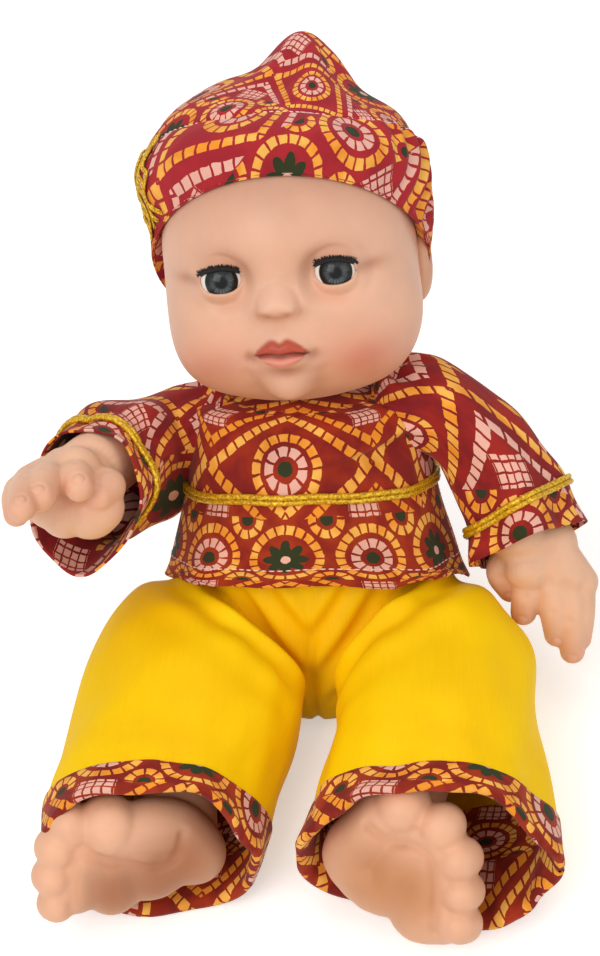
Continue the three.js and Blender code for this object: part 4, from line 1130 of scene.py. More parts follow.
        for side in (-1.0, 1.0):
            # Rosy cheeks, deepened on the lower cheeks and on the left cheek as painted shade
            tint("#BC5232", (side * 27.0, 19.0), 11.5, 0.56 + 0.1 * side, 1.25)
            tint("#E6A98C", (side * 22.0, 32.0), 11.0, 0.25)
            # Painted shade above the eyes, in the sockets' inner corners, in the creases at the outer
            # corners and under the eyes
            tint("#A8663F", (side * self.eye_x, 58.0), 5.6, 0.42, 1.6)
            tint("#A8663F", (side * 11.0, 55.5), 5.0, 0.36)
            tint("#A35E3E", (side * 32.5, 52.4), 2.3, 0.5, 2.6)
            tint("#B98058", (side * self.eye_x, 44.8), 2.6, 0.22, 2.4)
            # Painted shade in the nostrils and beside the nose's wings
            tint("#A2552F", (side * 3.5 - 0.6, 39.9), 1.5, 0.42, 1.4)
            tint("#C08259", (side * 7.4, 40.5), 2.2, 0.35)
            # Painted shade in the dimples at the mouth's corners and in the grooves beside the chin
            tint("#94502F", (side * 11.2 + self.mouth[0], self.mouth[1] - 1.8), 2.0, 0.5, 1.3)
            tint("#B57348", (side * 11.0, 13.0), 4.0, 0.3)
        # Painted shade between the brows, in the crease under the lower lip, in the groove above the upper
        # lip and under the nose
        tint("#BF8560", (0.0, 60.0), 8.0, 0.22, 1.4)
        tint("#A05C34", (-0.5, 18.4), 2.2, 0.75, 4.0)
        tint("#C68B66", (0.0, 36.5), 3.0, 0.25, 1.6)
        tint("#B4714A", (-0.6, 38.4), 1.7, 0.4, 2.8)
        # Painted shade under the chin
        under = 1.0 - ease(z, 3.0, 19.0)
        colour = blend_colour(colour, "#B4754C", 0.42 * under * front)
        # Painted shadow of the cap, darker up the forehead
        colour = blend_colour(colour, "#BF8E75", 0.75 * ease(z, 60.0, 90.0) * front)
        upper, lower, off, span = self.lips(x, z)
        red = ease(upper, -0.02, 0.1) * (1.0 - ease(upper, 0.84, 1.06)) * front * span
        rose = ease(lower, -0.02, 0.12) * (1.0 - ease(lower, 0.68, 1.05)) * front * span
        colour = blend_colour(colour, "#B43C24", 0.92 * red)
        colour = blend_colour(colour, "#E08B79", 0.88 * rose)
        # The mouth's dark line between the lips, deepened as painted shade in the groove there
        return blend_colour(colour, "#74220F", 0.85 * bell(off, 0.5) * span * front)

    def skin(self) -> Piece:
        """The head's skin as one closed shell with two lidded eye openings."""
        bm = bmesh.new()
        bmesh.ops.create_cube(bm, size=2.0)
        bmesh.ops.subdivide_edges(bm, edges=bm.edges[:], cuts=self.cuts, use_grid_fill=True)
        piece = object_from(bm, "head_skin")
        ways = unit(coordinates(piece.data))
        ways = unit(ways + self.front_crowding * FRONT)
        move_corners(piece.data, self.sculpt(self.bare(ways)))
        self.open_eyes(piece.data)
        local = coordinates(piece.data)
        paint_corners(piece.data, self.complexion(local))
        move_corners(piece.data, self.frame.out(local))
        return piece

    def open_eyes(self, mesh: Mesh) -> None:
        """Cuts the two eye openings and rolls their edges in to the eyeballs.

        Args:
            mesh: The head's mesh, in its own frame.
        """
        bm = bmesh.new()
        bm.from_mesh(mesh)
        wide, tall = self.opening_half
        power = self.opening_power
        for side in (-1.0, 1.0):
            middle = Vector((side * self.eye_x, -self.eye_setback, self.opening_rise)) * MM

            def inward(corner: Vector) -> float:
                """How far out of the opening a corner lies: under one is inside."""
                off = (corner - middle) / MM
                high = tall if off.z > 0.0 else self.opening_low
                return (abs(off.x / wide) ** power + abs(off.z / high) ** power) ** (1.0 / power)

            near = [f for f in bm.faces if f.calc_center_median().y < middle.y]
            gone = [f for f in near if all(inward(v.co) < 1.0 for v in f.verts)]
            ring = {v for f in gone for v in f.verts}
            bmesh.ops.delete(bm, geom=gone, context="FACES")
            ring = [v for v in ring if v.is_valid and any(e.is_boundary for e in v.link_edges)]
            for corner in ring:
                off = corner.co - middle
                size = inward(corner.co)
                off.x, off.z = off.x / size, off.z / size
                corner.co = middle + off
                corner.co.y = float(self.lid_depth(off.x / MM, corner.co.z / MM)) * MM
            edges = [e for e in bm.edges if e.is_boundary and all(v in ring for v in e.verts)]
            self.roll_lid(bm, edges, middle)
        bmesh.ops.recalc_face_normals(bm, faces=bm.faces)
        bm.to_mesh(mesh)
        bm.free()

    def roll_lid(self, bm: BMesh, edges: list[bmesh.types.BMEdge], middle: Vector) -> None:
        """Rolls the edge of an eye opening inwards in four steps and takes it back into the head.

        Args:
            bm: The head.
            edges: The edges round the opening.
            middle: The opening's middle, in metres.
        """
        lip = self.lid_lip * MM
        start = {v: v.co.copy() for e in edges for v in e.verts}
        steps = [math.radians(a) for a in (25.0, 55.0, 90.0)]
        for step in (*steps, None):
            made = bmesh.ops.extrude_edge_only(bm, edges=edges)["geom"]
            fresh = [g for g in made if isinstance(g, bmesh.types.BMVert)]
            edges = [g for g in made if isinstance(g, bmesh.types.BMEdge)]
            follow = {}
            for corner in fresh:
                root = next(v for e in corner.link_edges for v in e.verts if v in start)
                first = start[root]
                to_middle = Vector((middle.x - first.x, 0.0, middle.z - first.z)).normalized()
                if step is None:
                    corner.co = root.co + Vector((0.0, self.lid_return * MM, 0.0))
                else:
                    inset = to_middle * (lip * math.sin(step))
                    corner.co = first + inset + Vector((0.0, lip * (1.0 - math.cos(step)), 0.0))
                follow[corner] = first
            start = follow

    def ear(self, side: Side) -> Piece:
        """An ear: an oval with a rolled rim and a hollow inside it.

        Args:
            side: The side of the doll.

        Returns:
            The piece.
        """
        bm = bmesh.new()
        bmesh.ops.create_uvsphere(bm, u_segments=56, v_segments=40, radius=1.0)
        piece = object_from(bm, f"{side.word}_ear")
        ways = coordinates(piece.data) * MM
        local = ways * np.array(self.ear_half)
        outer = ease(ways[:, 0] * side.value, 0.0, 0.5)
        rim = np.hypot(ways[:, 1] + 0.12, ways[:, 2] - 0.08)
        local[:, 0] -= side.value * outer * 3.2 * bell(rim, 0.52)
        local[:, 0] += side.value * outer * 1.0 * bell(np.hypot(ways[:, 1] + 0.5, ways[:, 2] + 0.15), 0.22)
        local[:, 1] += 1.5 * ways[:, 2]
        local[:, 0] -= side.value * 2.0 * np.clip(-ways[:, 2], 0.0, None) ** 2
        tucked = 0.0 if side is Side.LEFT else self.right_ear_tuck
        local += spot(side.value * (self.half[0] - tucked), 7.0, 41.0)
        colour = coat("#E0AE90", len(local))
        # Painted shade in the hollow inside the rim
        colour = blend_colour(colour, "#B9704E", 0.6 * outer * bell(rim, 0.6))
        paint_corners(piece.data, colour)
        move_corners(piece.data, self.frame.out(local))
        return piece

    def neck(self) -> Piece:
        """The short neck that turns in the torso's collar."""

        def place(around: Array, along: Array) -> Array:
            """A point of the neck."""
            angle = math.tau * around
            radius = self.neck_radius + self.neck_flare * along**2
            rise = -self.neck_height / 2 + self.neck_height * along
            ring = np.stack([radius * np.cos(angle), radius * np.sin(angle), rise], axis=1)
            return POSTURE.trunk.out(ring + spot(0, 0, POSTURE.torso_rise))

        piece = sheet_object("neck", (48, 8), place, (75.0, self.neck_height))
        paint_corners(piece.data, coat("#D9A587", len(piece.data.vertices)))
        return piece

    def eyeball(self, side: Side) -> Piece:
        """A sleep eye: a ball with a raised cornea, on its axle.

        Args:
            side: The side of the doll.

        Returns:
            The piece.
        """
        bm = bmesh.new()
        bmesh.ops.create_uvsphere(bm, u_segments=64, v_segments=48, radius=1.0)
        bmesh.ops.rotate(bm, verts=bm.verts, matrix=Matrix.Rotation(math.pi / 2, 3, "X"))
        axle = Matrix.Rotation(math.pi / 2, 4, "Y")
        bmesh.ops.create_cone(
            bm, cap_ends=True, segments=20, radius1=0.105, radius2=0.105, depth=2.28, matrix=axle
        )
        bmesh.ops.recalc_face_normals(bm, faces=bm.faces)
        piece = object_from(bm, f"{side.word}_eyeball")
        mesh = piece.data
        ways = coordinates(mesh) * MM
        gaze = unit(spot(0.05, -0.995, 0.07 if side is Side.LEFT else 0.04))
        turn = np.array(Vector((0, -1, 0)).rotation_difference(Vector(gaze)).to_matrix())
        flat = ways[:, [0, 2]] * self.eye_radius
        off_axis = np.hypot(*flat.T)
        dome = np.where(ways[:, 1] < 0.0, 0.4 * (1.0 - ease(off_axis, 2.0, 6.2)), 0.0)
        local = ways * (self.eye_radius + dome)[:, None]
        behind = np.where(ways[:, 1] > 0.0, 30.0, 0.0)
        lay_flat(mesh, "gaze", flat + behind[:, None])
        local = local @ turn.T + spot(side.value * self.eye_x, -self.eye_setback, self.eye_rise)
        move_corners(mesh, self.frame.out(local))
        return piece

    def lash(self, side: Side) -> Piece:
        """A dark lash strip on the lid's edge, with a row of short hairs.

        Args:
            side: The side of the doll.

        Returns:
            The piece.
        """
        rng = np.random.default_rng(31 + side.value)
        bm = bmesh.new()
        centre = spot(side.value * self.eye_x, -self.eye_setback, self.eye_rise)
        lift = math.radians(30.0)
        spread = math.radians(52.0)
        rows = ((80, 0.66, 0.5, 1.4), (60, 0.36, 0.12, 1.9), (44, 0.32, 0.1, 2.2))
        for layer, (count, root_radius, tip_radius, size) in enumerate(rows):
            for i in range(count):
                swing = spread * (2.0 * (i + rng.uniform(0.0, 1.0)) / count - 1.0)
                rise = lift + 0.03 * layer - 0.26 * (swing / spread) ** 2
                level = math.cos(rise)
                way = spot(math.sin(swing) * level, -math.cos(swing) * level, math.sin(rise))
                aside = 0.4 * math.sin(swing) + rng.uniform(-0.15, 0.15)
                lean = self.frame.turn @ unit(way + spot(aside, 0.0, 0.15 + 0.25 * layer))
                length = size * rng.uniform(0.8, 1.1)
                root = self.frame.out(centre + way * (self.eye_radius - 0.1))
                sizes = {"radius1": root_radius * MM, "radius2": tip_radius * MM, "depth": length * MM}
                stand = pointing(root + lean * length / 2, lean)
                bmesh.ops.create_cone(bm, cap_ends=True, segments=5, matrix=stand, **sizes)
        return object_from(bm, f"{side.word}_lash_row")

    def build(self) -> None:
        """Makes the head's pieces and fastens them."""
        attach(dress(self.skin(), SKIN, ["head_shell"]), "head")
        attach(dress(self.neck(), SKIN), "head")
        for side in Side:
            eye = f"{side.word}_eye"
            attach(dress(self.ear(side), SKIN), "head")
            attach(dress(self.eyeball(side), EYE, [eye]), eye)
            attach(dress(self.lash(side), LASH, [f"{side.word}_lash"]), eye)


# Trimmings


def run_along(path: Array) -> Array:
    """The length walked along a path at each of its points."""
    return np.concatenate([[0.0], np.cumsum(np.linalg.norm(np.diff(path, axis=0), axis=1))])


def read_at(along: Array | float, lengths: Array, rows: Array) -> Array:
    """Rows of a path read at lengths along it."""
    return np.stack([np.interp(along, lengths, rows[:, k]) for k in range(3)], axis=-1)


def braid_row(name: str, path: Array, out: Array, cord: float, cords: int, closed: bool = True) -> Piece:
    """A flat braid of twisted cords side by side along a path.

    Args:
        name: The object's name.
        path: Points that the braid follows.
        out: The outward direction at each point.
        cord: The radius of one cord.
        cords: How many cords lie side by side.
        closed: Whether the path comes back to its start.

    Returns:
        The object.
    """
    ring = np.vstack([path, path[:1]]) if closed else path
    outs = np.vstack([out, out[:1]]) if closed else out
    lengths = run_along(ring)
    total = lengths[-1]

    def point(share: Array) -> tuple[Array, Array, Array]:
        """The place, the outward and the sideways direction at shares of the path."""
        along = share * total
        place = read_at(along, lengths, ring)
        up = unit(read_at(along, lengths, outs))
        forward = read_at((along + 0.6) % total, lengths, ring) - place
        forward[np.linalg.norm(forward, axis=1) < 1e-9] = LEFT
        return place, up, unit(np.cross(unit(forward), up))

    pieces = []
    for k in range(cords):
        lane = (k - (cords - 1) / 2.0) * 1.8 * cord
        hand = 1.0 if k % 2 else -1.0
        twists = round(total / (3.4 * cord))

        def place(around: Array, along: Array) -> Array:
            """A point of one twisted cord."""
            centre, up, across = point(along)
            angle = math.tau * around
            ply = cord * (0.84 + 0.2 * np.abs(np.cos(angle + hand * math.pi * twists * along)))
            aside = across * (lane + ply * np.cos(angle))[:, None]
            return centre + aside + up * (cord * 0.9 + ply * np.sin(angle))[:, None]

        rows = max(24, int(total / (0.55 * cord)))
        pieces.append(sheet_object(f"{name}_{k}", (10, rows), place, (6.3 * cord, total)))
    return join(pieces, name)


def stitch_row(name: str, path: Array, out: Array, step: float, length: float, radius: float) -> Piece:
    """A row of short thread stitches along a path.

    Args:
        name: The object's name.
        path: Points that the row follows.
        out: The outward direction at each point.
        step: The distance from stitch to stitch.
        length: The length of a stitch.
        radius: The radius of the thread.

    Returns:
        The object.
    """
    lengths = run_along(path)
    bm = bmesh.new()
    for along in np.arange(step / 2, lengths[-1] - step / 2, step):
        start, end = (read_at(along + way * length / 2, lengths, path) for way in (-1.0, 1.0))
        middle = (start + end) / 2 + unit(read_at(along, lengths, out)) * radius * 0.4
        size = Matrix.Diagonal((radius * MM, radius * MM, length / 2 * MM, 1.0))
        place = pointing(middle, end - start) @ size
        bmesh.ops.create_uvsphere(bm, u_segments=6, v_segments=4, radius=1.0, matrix=place)
    return object_from(bm, name)


def ring_of(place: Place, along: float, count: int = 240) -> tuple[Array, Array]:
    """Points round a tube at a share along it, and the outward direction at each.

    Args:
        place: Gives the tube's points.
        along: The share along it.
        count: How many points.

    Returns:
        The points and the directions.
    """
    around = np.linspace(0.0, 1.0, count, endpoint=False)
    level = np.full(count, along)
    points = place(around, level)
    here = place((around + 0.002) % 1.0, level) - place((around - 0.002) % 1.0, level)
    up = place(around, np.clip(level + 0.01, 0, 1)) - place(around, np.clip(level - 0.01, 0, 1))
    out = unit(np.cross(here, up))
    if ((points - points.mean(axis=0)) * out).sum() < 0.0:
        out = -out
    return points, out


# Cap


@dataclass
class Cap:
    """The soft wrapped cap: a peaked crown sewn to a wide band, with gold lace at one side."""

    stand_off: float = 1.2
    top_stand_off: float = 9.5
    rim_gap: float = 0.9
    side_roll: float = 3.6
    band_gap: float = 4.6
    band_roll: float = 2.2
    peak_rise: float = 17.5
    right_fullness: float = 6.5
    left_bulge: float = 4.5
    nape_slack: float = 2.8
    rim_rise: float = 50.0
    rim_tilt: float = 42.0
    nape_rise: float = 36.0
    band_height: float = 23.0
    band_turn: float = 0.86
    crown_tuck: float = 4.0
    crown_run: float = 88.0
    lace_strands: int = 6
    peak_way: Spot = (0.17, 0.16, 1.0)
    cloth: float = 0.8
    head: Head = field(default_factory=Head)

    def off_head(self, ways: Array) -> Array:
        """How far the cloth stands off the head: full at both sides, drawn up to a narrow peak.

        Args:
            ways: Outward directions.

        Returns:
            One distance for each direction.
        """
        peak = unit(spot(*self.peak_way))

        def near(way: Array, reach: float) -> Array:
            """A share that fades with the angle from a direction, by a reach in degrees."""
            return bell(np.arccos(np.clip(ways @ unit(way), -1.0, 1.0)), math.radians(reach))

        to_left = ease(ways @ unit(np.cross(BACK, peak)), -0.12, 0.2)
        drawn = near(peak, 12.0) * (1.0 - to_left) + near(peak, 14.5) * to_left
        full = self.right_fullness * near(spot(-0.62, 0.0, 0.78), 28.0)
        bulge = self.left_bulge * near(spot(0.8, -0.1, 0.6), 22.0)
        base = self.stand_off + (self.top_stand_off - self.stand_off) * ease(ways[:, 2], 0.15, 0.75)
        nape = self.nape_slack * ease(ways[:, 1], 0.0, 0.5) * (1.0 - ease(ways[:, 2], 0.3, 0.8))
        return base + full + bulge + nape + self.peak_rise * drawn

    def outside(self, ways: Array, out: Array | float) -> Array:
        """Points that stand off the head's dome, in the head's frame."""
        return self.head.bare(ways, np.broadcast_to(out, len(ways)))

    def ways(self, around: Array, off_peak: Array) -> Array:
        """Outward directions by the turn round the peak and the angle off it.

        Args:
            around: Shares of a turn.
            off_peak: Angles in radians.

        Returns:
            One direction for each.
        """
        peak = unit(spot(*self.peak_way))
        side = unit(np.cross(BACK, peak))
        back = np.cross(peak, side)
        angle = math.tau * around
        flat = side * np.cos(angle)[:, None] + back * np.sin(angle)[:, None]
        return peak * np.cos(off_peak)[:, None] + flat * np.sin(off_peak)[:, None]

    def height(self, points: Array) -> Array:
        """How far points lie above the rim, along the cap."""
        tilt = math.radians(self.rim_tilt)
        above = (points - spot(0, 0, self.rim_rise)) @ spot(0, math.sin(tilt), math.cos(tilt))
        return np.minimum(above, points[:, 2] - self.nape_rise)

    def angle_at(self, around: Array, level: Array | float) -> Array:
        """The angle off the peak at which the cap comes down to a level.

        Args:
            around: Shares of a turn round the peak.
            level: Heights above the rim.

        Returns:
            Angles in radians.
        """
        low = np.full(len(around), 0.3)
        high = np.full(len(around), 2.6)
        dome = np.array(self.head.half) + self.band_gap
        for _ in range(40):
            middle = (low + high) / 2.0
            points = self.ways(around, middle) * dome + spot(0, 0, self.head.centre_rise)
            above = self.height(points) > level
            low = np.where(above, middle, low)
            high = np.where(above, high, middle)
        return (low + high) / 2.0

    def crown_place(self, around: Array, along: Array) -> Array:
        """A point of the crown, from its peak down under the band's edge."""
        off_peak = self.angle_at(around, self.band_height - self.crown_tuck) * along
        ways = self.ways(around, off_peak)
        bare = self.outside(ways, self.off_head(ways))
        angle = math.tau * around
        pleats = np.cos(6.0 * angle + 3.0 * along) * ease(along, 0.08, 0.3) * (1.0 - ease(along, 0.5, 0.9))
        soft = 1.4 * wander(bare, 34.0, 5) * ease(along, 0.1, 0.4)
        tuck = -2.0 * ease(along, 0.9, 1.0)
        return POSTURE.head.out(bare + ways * (1.1 * pleats + soft + tuck)[:, None])

    def band_place(self, around: Array, along: Array) -> Array:
        """A point of the band, from its sewn top edge down over the rim and up inside."""
        down = np.clip(along / self.band_turn, 0.0, 1.0)
        rise = 1.0 - down
        ways = self.ways(around, self.angle_at(around, self.band_height * rise))
        angle = math.tau * around
        gather = bell(np.sin((angle + 0.1) / 2.0), 0.24)
        full = self.off_head(ways) + self.band_roll * np.sin(math.pi * rise) + 1.6 * gather
        full += 2.0 * gather * np.cos(46.0 * angle + 4.0 * down)
        full += 0.9 * wander(self.outside(ways, full), 26.0, 9)
        full -= 1.3 * ease(rise, 0.9, 1.0)
        roll = ease(ways[:, 1], -0.5, 0.0) * (1.0 - ease(ways[:, 1], 0.3, 0.75))
        low = self.rim_gap + self.side_roll * roll * (1.0 - ease(rise, 0.5, 1.0))
        out = low + (np.maximum(full, low) - low) * ease(rise, 0.0, 0.42) ** 0.6
        inside = ease(along, self.band_turn, 1.0)
        points = self.outside(ways, out - (out - 0.3) * inside)
        tilt = math.radians(self.rim_tilt)
        points += spot(0, math.sin(tilt), math.cos(tilt)) * (4.0 * inside)[:, None]
        return POSTURE.head.out(points)

    def lace(self) -> Piece:
        """Gathered strands of gold lace on the right side of the band."""
        pieces = []
        for k in range(self.lace_strands):
            around = 0.530 + 0.009 * k + 0.006 * np.sin(np.linspace(0.0, 9.0 + k, 60))
            along = np.linspace(0.03, 0.80, 60)
            path = self.band_place(around, along)
            heart = POSTURE.head.out(spot(0, 0, self.head.centre_rise))
            out = unit(path - heart)
            lift = 0.1 + 0.35 * (k % 3)
            pieces.append(braid_row(f"cap_lace_{k}", path + out * lift, out, 0.48, 2, closed=False))
        return join(pieces, "cap_lace_strands")

    def build(self) -> None:
        """Makes the cap's pieces and fastens them."""
        heart = POSTURE.head.out(spot(0, 0, self.head.centre_rise))
        worn = (heart, CAP_PRINT)
        thin = self.cloth
        crown = sew("cap_crown_cloth", (220, 90), self.crown_place, (1.0, 1.0), *worn, ["cap_crown"], thin)
        self.flatten_print(crown)
        band = sew("cap_band_cloth", (420, 60), self.band_place, (352.0, 40.0), *worn, ["cap_band"], thin)
        path, out = ring_of(self.band_place, 0.045, 400)
        stitches = stitch_row("cap_stitches", path, out, 2.3, 1.6, 0.28)
        dress(stitches, THREAD)
        lace = dress(self.lace(), BRAID, ["cap_lace"])
        for piece in (crown, band, stitches, lace):
            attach(piece, "cap")

    def flatten_print(self, crown: Piece) -> None:
        """Lays the crown's print out flat round its peak.

        Args:
            crown: The crown's cloth.
        """
        mesh = crown.data
        layer = mesh.uv_layers["cut"].uv
        shares = np.empty(len(mesh.loops) * 2)
        layer.foreach_get("vector", shares)
        around, along = shares.reshape(-1, 2).T
        reach = self.crown_run * along
        flat = np.stack([reach * np.cos(math.tau * around), reach * np.sin(math.tau * around)], axis=1)
        layer.foreach_set("vector", flat.ravel())


# Limbs


def string_balls(bm: BMesh, stations: Array, radii: Sequence[float]) -> None:
    """Strings balls along a smooth line, close enough to melt into a limb.

    Args:
        bm: The bmesh that takes the balls, in metres.
        stations: Points along the line in millimetres.
        radii: The radius at each station.
    """
    span = np.linalg.norm(np.diff(stations, axis=0), axis=1).sum()
    count = max(3, int(span / (0.28 * min(radii))))
    shares = np.linspace(0.0, 1.0, count)
    sizes = through(np.array(radii)[:, None], shares)[:, 0]
    for place, size in zip(through(stations, shares), sizes):
        bmesh.ops.create_icosphere(
            bm, subdivisions=3, radius=float(size) * MM, matrix=Matrix.Translation(Vector(place * MM))
        )


def melt(bm: BMesh, name: str, voxel: float, rounds: int) -> Piece:
    """One smooth skin over a heap of balls.

    Args:
        bm: The balls, in metres.
        name: The object's name.
        voxel: The grain of the skin in millimetres.
        rounds: How often the skin is smoothed.

    Returns:
        The object.
    """
    piece = object_from(bm, name)
    remesh = piece.modifiers.new("melt", "REMESH")
    remesh.mode = "VOXEL"
    remesh.voxel_size = voxel * MM
    smooth = piece.modifiers.new("smooth", "SMOOTH")
    smooth.factor = 0.5
    smooth.iterations = rounds
    apply_modifiers(piece)
    return piece


def groove(points: Array, normals: Array, path: Array, reach: float, depth: float) -> Array:
    """Points of a skin pressed in along a path.

    Args:
        points: The skin's corners.
        normals: The outward direction at each.
        path: Places along the groove.
        reach: How wide it fades.
        depth: How deep it is.

    Returns:
        The corners, moved.
    """
    gap = np.full(len(points), np.inf)
    for place in path:
        gap = np.minimum(gap, gap_to(points, place))
    return points - normals * (depth * bell(gap, reach))[:, None]


@dataclass
class Arm:
    """A soft vinyl arm with a chubby hand."""

    side: Side
    wrist: Spot = (46.5, -2.0, -48.36)

    @property
    def axes(self) -> Axes:
        """The arm's frame."""
        return POSTURE.arm(self.side)

    def hand(self, *offsets: Spot) -> Array:
        """Points measured from the wrist, on this arm's side."""
        points = np.array(offsets, float) + np.array(self.wrist)
        points[:, 0] *= self.side.value
        return self.axes.out(points)

    def build(self) -> Piece:
        """Makes the arm and fastens it."""
        bm = bmesh.new()
        w = np.array(self.wrist)
        upper = np.array([(1.0, 0, 0), (13.5, 0, 4.5), w * 0.5 + spot(6, 0, 6), w * 0.8 + spot(2, 0, 1), w])
        upper[:, 0] *= self.side.value
        string_balls(bm, self.axes.out(upper), (9.0, 9.0, 12.5, 13.5, 11.8))
        digits = {
            "thumb": (((-7, 2, -3), (-11, 1, -11), (-8, 1.5, -18.5)), (7.4, 6.6, 5.2)),
            "index": (((1, -2, -7), (-0.5, -5.5, -16), (-2, -5, -25)), (7.0, 6.2, 5.2)),
            "middle": (((8.5, -3, -9), (10, -6.5, -21), (11, -5.5, -33)), (7.2, 6.2, 5.1)),
            "ring": (((15, -2, -11), (16.5, -5.5, -25), (17, -5, -40)), (7.0, 6.0, 5.0)),
            "little": (((19, 0, -13), (20, -3, -25), (19.5, -1.5, -36)), (6.2, 5.4, 4.6)),
        }
        palm = ((3, 4, -3), (7, 2, 1), (9, 5, -10), (-4, 9, -11), (-7, 8, -12), (5, 9, -12), (0, -4, -6))
        for place, radius in zip(palm, (12.0, 11.0, 10.5, 11.0, 9.5, 9.5, 10.0)):
            string_balls(bm, self.hand((1, 1, -3), place), (10.0, radius))
        for stations, radii in digits.values():
            string_balls(bm, self.hand(*stations), radii)
            root = stations[0]
            string_balls(bm, self.hand((0.25 * root[0], 0, 2), root), (10.5, radii[0] + 1.0))
        piece = melt(bm, f"{self.side.word}_arm_skin", 0.7, 9)
        mesh = piece.data
        points = coordinates(mesh)
        normals = corner_normals(mesh)
        colour = coat("#E6B899", len(points))
        turn = np.linspace(0.0, math.tau, 40)
        for drop, depth in ((-1.0, 1.1), (3.5, 0.6)):
            ring = [(13.0 * math.cos(a), 13.0 * math.sin(a), -drop + 2.5 * math.cos(a)) for a in turn]
            points = groove(points, normals, self.hand(*ring), 2.2, depth)
        back = self.axes.turn @ FRONT
        for stations, radii in digits.values():
            line = self.hand(*stations)
            for station, depth, reach in ((0, 0.9, 2.6), (1, 0.5, 1.7)):
                dimple = line[station] + back * radii[station]
                points -= normals * (depth * bell(gap_to(points, dimple), reach))[:, None]
            tip = gap_to(points, line[-1])
            colour = blend_colour(colour, "#E3A083", 0.55 * bell(tip, 7.0))
            nail = line[-1] + back * (0.75 * radii[-1]) + unit(line[-1] - line[1]) * 1.5
            gap = gap_to(points, nail)
            points -= normals * (0.5 * bell(np.abs(gap - 2.5), 0.55))[:, None]
        # Painted shade in the hollow of the hand, under the fingers
        hollow = self.hand((-4.0, 0.0, -9.0), (4.5, -3.0, -13.0), (12.0, -3.0, -16.0), (18.0, -1.0, -19.0))
        for place in hollow:
            gap = gap_to(points, place)
            colour = blend_colour(colour, "#C5855D", 0.5 * bell(gap, 5.0))
        paint_corners(mesh, colour)
        move_corners(mesh, points)
        dress(piece, SKIN, [f"{self.side.word}_arm"])
        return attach(piece, f"{self.side.word}_arm")


@dataclass(frozen=True)
class FootPlan:
    """Where a foot's pads lie: reach from the heel, place across the sole, radius and rise out of it."""

    toes: tuple[tuple[float, float, float, float], ...]
    pads: tuple[tuple[float, float, float, float], ...]
    crease: tuple[tuple[float, float], ...]
    middle: tuple[float, float]
    # The sole's painted shade, and how strongly the heel is painted with it
    sole: str
    heel_shade: float


FOOT_PLANS = {
    Side.LEFT: FootPlan(
        toes=(
            (7.3, 21.6, 9.6, 1.4), (22.4, 19.2, 8.0, 0.4), (31.0, 9.8, 7.4, 0.2),
            (34.2, -1.6, 7.2, 0.2), (35.8, -13.4, 7.2, 0.2),
        ),
        pads=(
            (1, 14, 11.5, -1.0), (-2, 6, 12.5, 0.0), (-7, -4, 12.0, 0.0), (6, -10, 12.5, 0.0),
            (12, 4, 12.5, 0.0), (19, 9, 11.5, -0.5), (22, -2, 12.0, 0.0), (20, -15, 11.5, 0.0),
            (28.5, -14, 10.5, -0.5),
        ),
        crease=((-2, 14.0), (7, 11.0), (15.0, 12.5), (22.0, 10.5), (25.5, 3.0), (27.5, -6.0), (29.0, -17.0)),
        middle=(10.0, -3.0),
        sole="#BE7C48",
        heel_shade=0.3,
    ),
    Side.RIGHT: FootPlan(
        toes=(
            (22.6, 18.6, 10.8, 4.2), (34.6, 23.0, 7.6, 0.6), (42.2, 16.4, 7.2, 0.2),
            (46.4, 7.0, 6.9, 0.0), (47.8, -3.0, 6.6, 0.0),
        ),
        pads=(
            (20, 15, 10.0, 1.5), (14, 13, 10.5, 1.0), (7.5, 11, 11.0, 0.4), (0, 6, 11.0, -0.8),
            (-4, -4, 11.0, -1.5), (4, -2, 11.0, -1.0), (14, -4, 11.0, -1.0), (16, 5, 11.0, -0.6),
            (24, 5, 11.5, -1.0), (28, -5, 10.5, -1.0), (33, 8, 10.5, -1.5), (40, -1, 9.0, -1.0),
        ),
        crease=(
            (44, -8.0), (41, 3.0), (37, 11.5), (32, 12.0), (26, 7.5), (20, 5.5), (11, 0.5),
            (3.5, 2.0), (-1.0, 9.0),
        ),
        middle=(15.0, -3.0),
        sole="#9A5A31",
        heel_shade=0.75,
    ),
}


